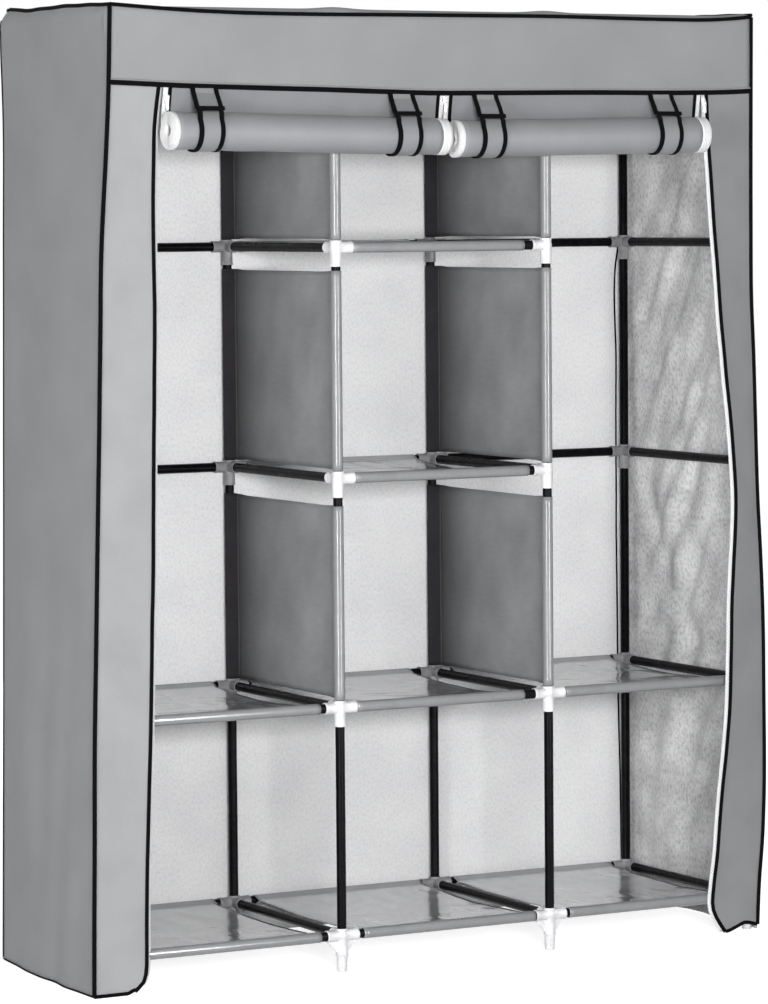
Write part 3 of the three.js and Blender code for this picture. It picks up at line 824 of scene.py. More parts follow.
def level_connectors(level, row):
    """The four connectors of one row; the top's back row also holds the tees of the hanging rails."""
    shapes = []
    z = LEVELS[level]
    y, inward = (FRONT, 1) if row == "front" else (BACK, -1)
    for column, x in enumerate(COLUMNS):
        bays = FRONT_BAYS[level] if row == "front" else (0, 1, 2)
        directions = [(0, inward, 0), (0, 0, -1)]
        directions += [(1, 0, 0)] if column in bays else []
        directions += [(-1, 0, 0)] if column - 1 in bays else []
        directions += [(0, 0, 1)] if level < TOP_LEVEL else []
        key = (tuple(directions), level == 0)
        if key not in CONNECTORS:
            CONNECTORS[key] = connector(*key)
        shapes.append((CONNECTORS[key], Matrix.Translation((x, y, z))))
    if level == TOP_LEVEL and row == "back":
        for column, x in enumerate(COLUMNS):
            direction = (1, 0, 0) if column % 2 == 0 else (-1, 0, 0)
            if direction not in CONNECTORS:
                CONNECTORS[direction] = tee(direction)
            shapes.append((CONNECTORS[direction], Matrix.Translation((x, 0, z))))
    # the back row is drawn in the grey copy of the plastic: painted shade
    plastic = white_plastic if row == "front" else shaded_back_plastic
    return bm_piece(f"{LEVEL_NAMES[level]}_level_connectors_{row}", shapes, plastic)


for level, name in enumerate(LEVEL_NAMES):
    on_body(level_tubes(level), "wardrobe", "steel_tube", f"{name}_level_frame")
    for row in ("front", "back"):
        on_body(level_connectors(level, row), "wardrobe", "white_plastic", f"{name}_level_frame")

FOOT = (  # (radius, height) from the sole up
    (0, 0.2), (7.2, 0.2), (8.2, 1.2), (8.5, 4), (8.6, 9), (9.3, 9.6), (9.3, 10.6), (8.8, 11.2), (9.1, 18),
    (9.8, 18.6), (9.8, 19.6), (9.2, 20.2), (9.5, 26), (11, 27), (11, 29.3), (9, 30.4), (0, 30.4),
)
for y, row in ((FRONT, "front"), (BACK, "back")):
    for x, column in zip(COLUMNS, COLUMN_NAMES):
        wires = [[(x, y, low + 3), (x, y, high - 3)] for low, high in zip(LEVELS, LEVELS[1:])]
        tubes = cord(f"post_tubes_{row}_{column}", wires, TUBE, black_steel, TUBE_SIDES)
        on_body(tubes, "wardrobe", "steel_tube", f"post_{row}_{column}")
        stand = Matrix.Translation((x, y, 0))
        foot = bm_piece(f"plug_foot_{row}_{column}", [(lathe(FOOT), stand)], white_plastic)
        on_body(foot, "wardrobe", "white_plastic", f"foot_{row}_{column}")

for bay, side in ((0, "left"), (2, "right")):
    rail = cord(f"clothes_rail_{side}", [across_bay(bay, 0, LEVELS[TOP_LEVEL])], TUBE, black_steel, TUBE_SIDES)
    on_body(rail, "wardrobe", "steel_tube", f"hanging_rail_{side}")


# ---------------------------------------------------------------- shelves and dividers
def sleeve_path(seam, lap):
    """Half-depth path of a sheet sewn round the tubes at both ends, as (depth, rise) pairs: the lap under
    it, round the tube, over the stitch line and so on to the other tube. seam is the sheet's rise there."""
    arc = [
        (FRONT - SLEEVE * math.sin(a), -SLEEVE * math.cos(a)) for a in np.linspace(-0.35, math.pi + 0.2, 16)
    ]
    start = [(FRONT + lap, seam - 1.3), (FRONT + STITCH - 2, seam - 1.2)]
    front = start + arc + [(FRONT + STITCH, seam), (FRONT + STITCH + 6, seam)]
    return np.array(front + [(-y, rise) for y, rise in reversed(front)])


def along(path, crowd_rows):
    """Even shares along a path, and the functions that read its two axes."""
    run = run_along(path)
    shares = run / run[-1]
    middle = np.linspace(shares[len(path) // 2 - 1], shares[len(path) // 2], crowd_rows)
    stops = np.unique(np.round(np.concatenate([shares, middle]), 9))
    return stops, lambda v: np.interp(v, shares, path[:, 0]), lambda v: np.interp(v, shares, path[:, 1])


def shelf(level, bay, seed, sag, gaps, right_droop=0.0):
    """gaps are the lengths of bare tube that show between the sheet's sleeve and the sockets beside it."""
    x0, x1 = COLUMNS[bay] + SOCKET_REACH + gaps[0], COLUMNS[bay + 1] - SOCKET_REACH - gaps[1]
    path = sleeve_path(2.2, 26)
    stops, depth_at, rise_at = along(path, 44)
    wrinkle = waves(seed, 260, 34)
    tension = waves(seed + 1, 60, 22, 8)

    def place(u, v):
        x = x0 + (x1 - x0) * u
        y = depth_at(v)
        inside = np.clip((SEWN - np.abs(y)) / SEWN, 0, 1)
        hang = np.sin(inside * math.pi / 2)
        upper = (np.abs(v - 0.5) < 0.47) * smooth((SEWN - np.abs(y)) / 14)
        drop = hang * (sag + right_droop * smooth((u - 0.55) / 0.45) + 1.0 * (np.abs(2 * u - 1) ** 3))
        ripple = wrinkle(x, y) * 1.6 * hang + tension(x, y * 0.12) * 4 * (1 - hang) * hang
        pull = 1.5 * (np.abs(2 * u - 1) ** 4) * np.sign(0.5 - u) * hang
        return x + pull, y, LEVELS[level] + rise_at(v) + upper * (ripple - drop)

    def bands(u, v):
        return np.where(np.abs(depth_at(v)) > SEWN, 2, 0)

    name = f"{LEVEL_NAMES[level]}_shelf_sheet_{BAYS[bay]}"
    top_cloth = shaded_shelf_cloth if level == 2 else shelf_cloth
    materials = [top_cloth, shelf_under, sleeve_cloth]
    piece, flat = cloth(name, place, spread(40), stops, (0, 0, 1), materials, bands)
    xs = np.linspace(x0 + 3, x1 - 3, 9)
    rows = [[(x, y, LEVELS[level] + 2.9) for x in xs] for y in (-STITCH_ROW, STITCH_ROW)]
    seam = stitches(f"{name}_stitches", rows)
    on_body(seam, "wardrobe", "shelf_cloth")
    on_body(piece, "wardrobe", "shelf_cloth", f"{LEVEL_NAMES[level]}_shelf_{BAYS[bay]}")
    declare(piece, flat, "stretched", [f"{LEVEL_NAMES[level]}_level_tubes"], [seam])


SHELVES = (  # level, bay, sag, the two lengths of bare tube, and the droop to the right of one
    (0, 0, 4, (7, 12)), (0, 1, 4, (10, 2)), (0, 2, 4, (7, 7)), (1, 0, 7, (7, 10)), (1, 1, 8, (1, 22)),
    (1, 2, 7, (2, 7)), (2, 1, 5, (1, 10), 7), (3, 1, 4, (1, 17)),
)
for seed, (level, bay, *facts) in enumerate(SHELVES):
    shelf(level, bay, 11 + 3 * seed, *facts)


def divider(storey, column, seed):
    """Upright sheet round a front and a back post, sewn to a sleeve in front; its back sleeve is drawn near
    black
    and the cloth darkens towards it: painted shade.
    """
    low, high = LEVELS[storey] + 13, LEVELS[storey + 1] - (47 if storey == 1 else 39)
    path = sleeve_path(6.9, 22)
    stops, depth_at, rise_at = along(path, 36)
    streak = waves(seed, 150, 26)

    def place(u, v):
        y = depth_at(v)
        middle = smooth((178 - np.abs(y)) / 30)
        z = low + (high - low) * u
        sway = streak(y, z * 0.12) * 1.3 * middle
        edge = 1.5 * (np.abs(2 * u - 1) ** 4) * np.sign(0.5 - u) * middle
        return COLUMNS[column] + rise_at(v) + sway, y, z + edge

    def bands(u, v):
        y = depth_at(v)
        # the back sleeve takes the near-black cloth of painted shade, the front one the sleeve cloth
        return np.where(y > 188, 3, np.where(y < -194, 2, 0))

    side = "left" if column == 1 else "right"
    storey_name = {1: "lower", 2: "middle", 3: "upper"}[storey]
    name = f"{storey_name}_divider_sheet_{side}"
    materials = [divider_cloth, divider_cloth, sleeve_cloth, shaded_back_sleeve_cloth]
    piece, flat = cloth(name, place, spread(34), stops, (1, 0, 0), materials, bands)
    x = COLUMNS[column] + 7.2 + 0.7
    rows = [[(x, y, z) for z in np.linspace(low + 3, high - 3, 9)] for y in (-STITCH_ROW, STITCH_ROW)]
    seam = stitches(f"{name}_stitches", rows)
    on_body(seam, "wardrobe", "divider_cloth")
    on_body(piece, "wardrobe", "divider_cloth", f"{storey_name}_divider_{side}")
    posts = [f"post_tubes_{row}_inner_{side}" for row in ("front", "back")]
    declare(piece, flat, "stretched", posts, [seam])


for storey in (1, 2, 3):
    for column in (1, 2):
        divider(storey, column, 60 + 7 * storey + column)


# ---------------------------------------------------------------- cover
# Lines of the cover as the photo shows them. The corners, the strips' inner edges and the back corners
# give X by height, seam_line and front_top height by X, side_top height by Y, the back edges Y by height,
# and right_forward how far the right strip's inner edge bows forward.
left_corner = table(
    (0, -673), (82, -672), (246, -669), (411, -666.5), (575, -661.7), (739, -657), (902, -652), (1065, -647.5),
    (1227, -643), (1389, -632.3), (1470, -627.6), (1534, -625.3), (1583, -624), (1625, -622.7),
)
right_corner = table(
    (0, 627), (89, 631.5), (160, 638), (232, 641.5), (412, 642), (591, 639.3), (680, 635.2), (769, 630),
    (911, 625.3), (1036, 621.5), (1124, 617.6), (1265, 616.8), (1476, 617.4), (1625, 618.3),
)
left_inner = table(
    (0, -600), (10, -589), (28, -580.5), (60, -577.6), (90, -577.4), (190, -575.4), (322, -571), (454, -565.6),
    (586, -561.8), (718, -558), (850, -556), (981, -552.8), (1112, -550), (1210, -550), (1308, -550.3),
    (1373, -548), (1438, -545), (1495, -537),
)
right_seen = table(
    (0, 561), (40, 536), (90, 537), (132, 542.4), (239, 552.3), (416, 569.5), (505, 572.5), (594, 574.5),
    (700, 580), (771, 582), (913, 572.5), (1072, 555.4), (1213, 543.3), (1353, 533.2), (1423, 528.2),
    (1495, 524.5),
)
right_forward = table((0, 0), (120, 3), (400, 16), (850, 28), (1150, 12), (1400, 2), (1625, 0))
seam_line = table(
    (-628, 1499), (-553, 1496.2), (-499, 1494.2), (-407, 1492.3), (-315, 1490.6), (-221, 1489), (-126, 1486.6),
    (-30, 1484.7), (67, 1485.2), (166, 1486.3), (266, 1487.3), (470, 1488), (574, 1489.9), (620, 1492),
)
front_top = table(
    (-625, 1625), (-551, 1620.5), (-479, 1616.8), (-405, 1614.6), (-257, 1613.6), (-105, 1614.8), (49, 1615.8),
    (207, 1616.6), (368, 1615.1), (450, 1614.5), (533, 1615.2), (606, 1620.3), (620, 1622),
)
side_top = table(
    (-218, 1624.5), (-192, 1625), (-145, 1627), (-98, 1627.6), (-50, 1629.4), (0, 1628.4), (47, 1629),
    (97, 1628.2), (147, 1631.4), (190, 1634),
)
back_edge = table(
    (0, 196), (400, 198), (900, 203), (1400, 208), (1590, 212), (1612, 211), (1624, 203), (1634, 190)
)
left_back = table(
    (0, -653.7), (200, -650), (457, -645.3), (800, -638.5), (1230, -630.5), (1500, -626), (1590, -627.5),
    (1612, -627.5), (1624, -624), (1634, -618.5),
)
right_back = table((0, 637), (457, 635), (900, 631), (1400, 628), (1612, 627.5), (1624, 624), (1634, 618.5))
right_back_edge = table(
    (0, 226), (400, 226), (1000, 226), (1400, 223), (1560, 216), (1612, 211), (1624, 203), (1634, 190)
)


def right_inner(z):
    """X of the right strip's inner edge; what bows forward is seen further to the right."""
    return right_seen(z) - 0.564 * right_forward(z)


def from_level(z):
    """Distance to the nearest level of the frame."""
    return np.min([np.abs(z - level) for level in LEVELS], axis=0)


def over_post(radius, near):
    """How far cloth stands off a post's middle: more beside the sockets at each level."""
    return radius + 2.6 * smooth((40 - near) / 10)


def clear_of_frame(x, y, z):
    """Lets the side cloth bulge over the tubes and connectors behind it; x is its distance from the middle."""
    near = from_level(z)
    above = np.clip((z - LEVELS[TOP_LEVEL]) / 13, 0, 1)
    round_post = over_post(8.8, near) * np.sqrt(1 - above**2)
    reach = 13 + 24 * np.exp(-((near / 12) ** 2))
    beyond_post = np.abs(y) - BACK
    post = round_post * np.exp(-((beyond_post / reach) ** 2))
    sockets = np.maximum(smooth((44 - np.abs(beyond_post)) / 8), smooth((32 - np.abs(y)) / 8))
    rail = (9.2 + 2.4 * sockets) * np.exp(-((near / 14) ** 2)) * np.sqrt(1 - above**2)
    least = COLUMNS[3] + np.maximum(post, rail) * np.sqrt(1 - np.clip(beyond_post / 14, 0, 1) ** 2)
    softness = 1.2
    return least + softness * np.logaddexp(0, (x - least) / softness)


top_wave = waves(3, 300, 60)


def top_place(u, v):
    """The top lies on the tubes and connectors; its back corners are pulled in and stand up a little."""
    rough_x = -622 + 1240 * u
    end = np.minimum(rough_x + 622, 618 - rough_x)
    corner_y = back_edge(TOP_BACK)
    back_y = corner_y + (BACK_CLOTH - corner_y) * smooth(end / 70)
    y = FRONT_CORNER + (back_y - FRONT_CORNER) * v
    share = (y - FRONT_CORNER) / (corner_y - FRONT_CORNER)
    left = left_corner(CORNER_TOP) + (left_back(TOP_BACK) - left_corner(CORNER_TOP)) * share
    right = right_corner(CORNER_TOP) + (right_back(TOP_BACK) - right_corner(CORNER_TOP)) * share
    x = left + (right - left) * u
    near = sum(
        np.exp(-(((x - cx) / 38) ** 2 + ((y - cy) / 38) ** 2)) for cx in COLUMNS for cy in (FRONT, BACK, 0)
    )
    on_rail = np.exp(-((y / 16) ** 2)) * smooth((np.abs(x) - 195) / 15)
    bay = np.abs(np.sin(math.pi * (x - COLUMNS[0]) / 410) * np.sin(math.pi * (y - FRONT) / 408))
    sag = 4 * bay**0.8 - top_wave(x, y) * 1.2 * bay
    z = 1623.2 + 3.4 * np.clip(near, 0, 1) - sag * (1 - on_rail)
    # Towards the rim it runs into the heights of the front's, the back's and the sides' top edges
    front = np.clip((-206 - y) / 12, 0, 1) ** 2.2
    back = np.clip((v - 0.972) / 0.028, 0, 1) ** 2.2
    side = np.clip((np.maximum(left - x, x - right) + 11) / 11, 0, 1) ** 2.2
    z = z * (1 - side) + side_top(y) * side
    edge = np.where(y < 0, front_top(x), back_top(x))
    share = np.maximum(front, back)
    return x, y, z * (1 - share) + edge * share


def back_top(x):
    """Height of the back's top edge, which rises to the corners."""
    return 1622.5 + 11.5 * np.clip((np.abs(x) - 540) / 80, 0, 1) ** 2


header_wave = waves(5, 420, 90)


def header_place(u, v):
    """The band over the doors, from the top's front edge to the seam."""
    height = 1624 - 134 * v
    x = left_corner(height) + (right_corner(height) - left_corner(height)) * u
    top, bottom = front_top(x), seam_line(x) + 2
    return x, FACE + header_wave(x, v * 130) * 1.3 * np.sin(math.pi * v) - 0.6 * v, top + (bottom - top) * v


fold_wave = waves(8, 210, 70)
SIDE_CREASES = (1227, 821, 421)


def packing_creases(z, across_mm, seed):
    """Shallow ridges where the cover was folded in its parcel."""
    drift = waves(seed, 300, 80)
    return sum(np.exp(-(((z - crease - 6 * drift(across_mm, crease)) / 5) ** 2)) for crease in SIDE_CREASES)


def side_grid(u, v, corner, back, edge):
    """Rows of a side from its top edge to its hem, between the front corner and the back edge."""
    rough_y = FRONT_CORNER + (back_edge(TOP_BACK) - FRONT_CORNER) * u
    top = side_top(rough_y)
    z = top + (HEM - top) * v
    y = FRONT_CORNER + (edge(z) - FRONT_CORNER) * u
    return corner(z) + (back(z) - corner(z)) * u, y, z


def left_place(u, v):
    """The left side, drawn in a little between its edges and with folds that deepen towards the hem."""
    x, y, z = side_grid(u, v, left_corner, left_back, back_edge)
    belly = np.sin(math.pi * u)
    fall = v**1.4
    x = x - belly * (2 + 6 * fall) - fold_wave(y, z * 0.16) * 5 * fall * belly
    x = x - 1.8 * packing_creases(z, y, 4) * belly
    return -clear_of_frame(-x, y, z), y, z


right_wave = waves(21, 240, 56)
diagonal_wave = waves(29, 130, 48)
# (height, depth) down the long fold that slants across the right side
LONG_FOLD = ((440, -20), (472, -4), (586, 80), (694, 120), (808, 182), (838, 196))


def right_place(u, v):
    """The right side, which hangs looser: slanting folds that fade out at the top and the hem."""
    x, y, z = side_grid(u, v, right_corner, right_back, right_back_edge)
    belly = np.sin(math.pi * u)
    fall = smooth(v / 0.2)
    x = x + belly * (2 + 6 * v) + right_wave(y, z * 0.2) * (9 + 7 * v) * belly * fall
    x = x + diagonal_wave(y + 0.6 * z, 0.1 * z) * 13 * belly * smooth(v / 0.25) * smooth((1 - v) / 0.2)
    heights, depths = zip(*LONG_FOLD)
    beside = (y - np.interp(z, heights, depths)) / 26
    window = smooth((z - 430) / 90) * smooth((850 - z) / 80)
    x = x + 10 * np.exp(-(beside**2)) * window * belly
    x = x - 1.4 * packing_creases(z, y, 6) * belly
    return clear_of_frame(x, y, z), y, z


back_wave = waves(33, 420, 90)


def back_place(u, v):
    """The back, drawn over the back posts and rounded into both corners."""
    rough_x = -618 + 1236 * u
    top = back_top(rough_x)
    z = top + (HEM - top) * v
    left = -clear_of_frame(-left_back(z), back_edge(z), z)
    right = clear_of_frame(right_back(z), right_back_edge(z), z)
    x = left + (right - left) * u
    edge = np.where(x < 0, back_edge(z), right_back_edge(z))
    from_end = np.minimum(x - left, right - x)
    round_in = smooth(from_end / 55)
    y = edge + (BACK_CLOTH + 5 * v - edge) * round_in
    y = y + back_wave(x, z) * 2.6 * round_in * smooth(v / 0.1)
    y = y + 1.2 * packing_creases(z, x, 9) * round_in
    post = over_post(9.8, from_level(z)) * np.exp(-(((np.abs(x) - COLUMNS[3]) / 14) ** 2))
    return x, np.maximum(y, BACK + post * (z < 1616)), z


def strip_rows(x, share):
    """Heights down a front strip, from just above the seam to the hem."""
    top = seam_line(x) + 1
    return top + (HEM - 1 - top) * share


strip_wave = waves(41, 300, 80)


def left_strip_place(u, v):
    """The left strip, from the corner to its zip, with a rounded lower corner."""
    z = strip_rows(-590.0, v)
    x = left_corner(z) + (left_inner(z) - left_corner(z)) * u
    lift = strip_wave(x, z) * 1.2 * u * smooth(v / 0.1)
    z = strip_rows(x, v) + 5 * smooth((v - 0.985) / 0.015) * smooth((u - 0.8) / 0.2)
    return x, FACE - lift - 2.5 * u**2 * np.sin(math.pi * np.clip(v, 0, 1)), z


right_hem = table((525, 2), (545, 1), (561, 0.5), (585, 8), (599, 13), (625, 8.5), (637, 6))


def right_strip_place(u, v):
    """The right strip, whose inner edge bows forward and whose hem is curved."""
    z = strip_rows(590.0, v)
    outer, inner = right_corner(z), right_inner(z)
    x = outer + (inner - outer) * u
    forward = right_forward(z) * u**1.5
    z = strip_rows(x, v) + (right_hem(x) - 1) * smooth((v - 0.9) / 0.1)
    return x, FACE - forward - strip_wave(x + 400, z) * 1.6 * u * smooth(v / 0.1), z


def inner_edge(place, top, low, count=110):
    """Points down a strip's inner edge, from its place function."""
    shares = np.linspace(0, 1, 300)
    edge = points_of(place, np.ones_like(shares), shares)
    heights = np.linspace(top, low, count)
    return np.stack([np.interp(-heights, -edge[:, 2], edge[:, axis]) for axis in (0, 1)] + [heights], axis=-1)


OUT_IN = [cover_outside, cover_inside]
OUT_SIDE = [cover_outside, side_inside]
TOP_ROWS = np.unique(np.concatenate([spread(170), np.linspace(0, 0.03, 13)]))  # crowded under the top edge
SHEETS = (  # name, place, shares across and down, the way it faces, materials, node that it replaces
    ("cover_top_sheet", top_place, spread(150, 0.7), spread(64, 0.8), (0, 0, 1), OUT_IN, "cover_top"),
    ("header_sheet", header_place, spread(120), spread(14), (0, -1, 0), OUT_IN, "cover_header"),
    ("cover_left_sheet", left_place, spread(80, 0.5), TOP_ROWS, (-1, 0, 0), OUT_SIDE, "cover_side_left"),
    ("cover_right_sheet", right_place, spread(80, 0.5), TOP_ROWS, (1, 0, 0), OUT_SIDE, "cover_side_right"),
    ("cover_back_sheet", back_place, spread(150, 0.6), TOP_ROWS, (0, 1, 0), OUT_IN, "cover_back"),
    (
        "front_left_strip_sheet", left_strip_place, spread(16), spread(150), (0, -1, 0),
        [lit_left_strip_cloth] * 2, "front_strip_left",
    ),
    (
        "front_right_strip_sheet", right_strip_place, spread(16), spread(170, 0.3), (0, -1, 0),
        [shaded_right_strip_cloth] * 2, "front_strip_right",
    ),
)
sheets = {name: cloth(name, *facts) for name, *facts, _ in SHEETS}

PIPING = 3.7
NARROW_CORD, NARROW_SIDES = 1.6, 8
front_xs = np.linspace(-623, 618.5, 90)
seam_xs = np.linspace(-626.5, 617.5, 90)
shares = spread(44, 0.6)
corner_pipes = cord(
    "corner_pipings",
    [
        [(left_corner(z) - 0.6, FACE - 0.6, z) for z in np.linspace(4, 1624, 90)],
        [(right_corner(z) + 0.6, FACE - 0.6, z) for z in np.linspace(10, 1621, 90)],
    ],
    PIPING,
    binding_band,
)
top_pipes = cord(
    "top_pipings",
    [
        [(x, FACE - 0.6, front_top(x) + 0.3) for x in front_xs],
        [np.array(left_place(u, 0.0)) + [-0.6, 0, 0.3] for u in shares],
        [np.array(right_place(u, 0.0)) + [0.6, 0, 0.3] for u in shares],
        [np.array(back_place(u, 0.0)) + [0, 0.6, 0.3] for u in shares],
    ],
    PIPING - 0.3,
    binding_band,
)
# X by height of the seam inside the right back corner
corner_seam = table(
    (6, 618), (300, 613), (450, 610), (640, 608.5), (1000, 609), (1195, 611), (1240, 620), (1590, 622)
)


def seam_point(z):
    """The back corner's seam, which shows inside just beside the post."""
    u = (corner_seam(z) - left_back(z)) / (right_back(z) - left_back(z))
    top = back_top(-618 + 1236 * u)
    return np.array(back_place(u, (top - z) / (top - HEM))) + [0, -2.4, 0]


inner_seam_path = [seam_point(z) for z in np.linspace(8, 1580, 90)]
inner_seam = cord("back_corner_seam_binding", [inner_seam_path], NARROW_CORD, binding_band, NARROW_SIDES)
side_hem_path = [np.array(left_place(u, 1.0)) + [0, 0, 0.6] for u in shares]
side_hem = cord("left_side_hem_binding", [side_hem_path], 1.9, binding_band, NARROW_SIDES)
back_pipes = cord(
    "back_corner_pipings",
    [
        [
            (side * (clear_of_frame(side * corner(z), edge(z), z) + 0.6), edge(z) + 0.6, z)
            for z in np.linspace(6, 1616, 120)
        ]
        for side, corner, edge in ((-1, left_back, back_edge), (1, right_back, right_back_edge))
    ],
    NARROW_CORD,
    binding_band,
    NARROW_SIDES,
)
seam_path = [(x, FACE - 1.6, seam_line(x)) for x in seam_xs]
seam_band = sweep("header_seam_binding", seam_path, (0, -1, 0), rounded(2.8, 8.4, 1.2), binding_band)
lip_path = [(x, FACE - 1.9, seam_line(x) + 5.4) for x in seam_xs]
seam_lip = sweep("header_seam_lip", lip_path, (0, -1, 0), rounded(2.6, 2.6, 1.1), strap_cloth)
seam_rows = [[(x * 0.995, FACE - 3.1, seam_line(x) + offset) for x in seam_xs] for offset in (-2.4, 2.4)]
seam_stitches = beads("header_seam_stitches", seam_rows, binding_band)
EDGE_BAND, NARROW_BAND = rounded(7.0, 2.6, 1.2), rounded(6.4, 2.6, 1.2)


def beside(edge, reach, near, far):
    """Place function of a tape sewn behind an edge, from near to far behind it."""
    shares = np.linspace(0, 1, len(edge))

    def place(u, v):
        x, y, z = (np.interp(v, shares, edge[:, axis]) for axis in range(3))
        return x + reach * u, y + near + (far - near) * u, z

    return place


def strip_binding(side, place, edge):
    """Dark band down a strip's inner edge and along its hem."""
    hem_line = points_of(place, spread(20), np.ones(21)) + [0, -0.3, 2.2]
    binding = sweep(f"{side}_strip_binding", edge + [0, -0.3, 0], (1, 0, 0), EDGE_BAND, binding_band)
    hem = sweep(f"{side}_strip_hem_binding", hem_line, (0, 0, 1), NARROW_BAND, binding_band)
    return joined(f"{side}_strip_binding", [binding, hem])


# side, the strip's place, its inner edge, how far the zip's tape reaches beyond that edge, and how far
# behind it the tape's other edge lies
STRIPS = (
    ("left", left_strip_place, inner_edge(left_strip_place, 1493, 5.5), 9.5, 7.0),
    ("right", right_strip_place, inner_edge(right_strip_place, 1487, 2.5), -9.3, 1.6),
)
bindings = [strip_binding(side, place, edge) for side, place, edge, *_ in STRIPS]
tapes, coils = [], []
for side, _, edge, reach, behind in STRIPS:
    tape_place = beside(edge, reach, 1.4, behind)
    facts = (spread(3), spread(120), (0, -1, 0), [tape_band] * 2)
    tapes.append(cloth(f"{side}_zip_tape_band", tape_place, *facts)[0])
for side, _, edge, reach, behind in STRIPS:
    coils.append(zip_coil(f"{side}_zip_coil", edge + [reach, behind, 0]))

for name, *_, node in SHEETS:
    on_body(sheets[name][0], "wardrobe", "cover_cloth", node)
cords = [corner_pipes, back_pipes, top_pipes, side_hem, inner_seam, seam_band, seam_lip, seam_stitches]
for piece in cords + bindings:
    on_body(piece, "wardrobe", "cover_cloth")
for tape, node in zip(tapes, ("zip_tape_left", "zip_tape_right")):
    on_body(tape, "wardrobe", "zip_tape", node)
for coil in coils:
    on_body(coil, "wardrobe", "zip_tape")
top_frame = ["top_level_tubes", "top_level_connectors_front", "top_level_connectors_back"]
for name, held, rests_on, with_pieces in (
    ("cover_top_sheet", "stretched", top_frame, [top_pipes]),
    ("header_sheet", "hung", ["top_level_tubes"], [seam_band, seam_lip, seam_stitches]),
    ("cover_left_sheet", "hung", ["top_level_tubes"], [corner_pipes, side_hem]),
    ("cover_right_sheet", "hung", ["top_level_tubes"], []),
    ("cover_back_sheet", "hung", ["top_level_tubes"], [inner_seam, back_pipes]),
    ("front_left_strip_sheet", "hung", ["header_sheet"], [bindings[0], tapes[0], coils[0]]),
    ("front_right_strip_sheet", "hung", ["header_sheet"], [bindings[1], tapes[1], coils[1]]),
):
    declare(*sheets[name], held, rests_on, with_pieces)


# ---------------------------------------------------------------- doors, rolled up
def squash_strap(piece, joint, x):
    """Gives the strap a mesh of its own. The real strap is undone before its door comes down; it is not moved
    here.
    """
    seam_height = 1490
    tuple(placed((x, FACE, seam_height)))
    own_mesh(piece)


def make_strap(name, joint, node, x, axis, seam):
    """Band from the seam down behind the flap, under the roll and over its front, with a short tail on top."""
    radius = ROLL + 0.9
    arc = []
    for turn in np.linspace(math.radians(100), math.radians(360), 40):
        degrees = math.degrees(turn)
        aside = (6 + 9.5 * smooth((degrees - 92) / 60)) * smooth((420 - degrees) / 130)
        arc.append((x - aside, ROLL_Y + radius * math.cos(turn), axis + radius * math.sin(turn)))
    up_behind = [(x - 4, -214.6, axis + 20), (x, -213.6, axis + 40), (x, -213.6, seam + 2)]
    over_roll = [
        (x, FACE - 1.6, seam - 1), (x, -224, seam - 11), (x - 2.5, -238, seam - 25), (x - 5, -250, axis + 36.6),
        (x - 6, -258, axis + 36),
    ]
    paths = {"band": polyline(arc + up_behind, 70), "tail": polyline(over_roll, 18)}
    half_widths = {
        "band": table((0, 19.5), (0.25, 19.2), (0.75, 20.2), (1, 21)),
        "tail": table((0, 21), (1, 21.8)),
    }
    edges = []
    for part, path in paths.items():
        run = run_along(path)
        shares = run / run[-1]
        half = half_widths[part]

        def place(u, v):
            centre, y, z = (np.interp(v, shares, path[:, axis_number]) for axis_number in range(3))
            return centre + (2 * u - 1) * half(v), y, z

        outward = (0, -1, 0) if part == "band" else (0, -1, 1)
        sheet, flat = cloth(f"strap_{part}_{name}", place, spread(6), shares, outward, [strap_cloth] * 2)
        for number in (0, 1):
            line = points_of(place, np.full_like(shares, number), shares)
            profile = rounded(8.6, 2.8, 1.2)
            edges.append(sweep(f"strap_{part}_edge_{number}", line, (1, 0, 0), profile, binding_band))
        on_body(sheet, "wardrobe", "cover_cloth", node)
        squash_strap(sheet, joint, x)
        declare(sheet, flat, "hung", ["header_sheet"])
    centre, y, height = paths["tail"][-1]
    hem = [(centre + offset, y + 0.5, height + 1.2) for offset in (-24, -12, 0, 12, 24)]
    edges.append(sweep("strap_hem", hem, (0, 1, 0), rounded(5.0, 7.4, 1.6), binding_band))
    bindings = joined(f"strap_bindings_{name}", edges)
    on_body(bindings, "wardrobe", "cover_cloth")
    squash_strap(bindings, joint, x)


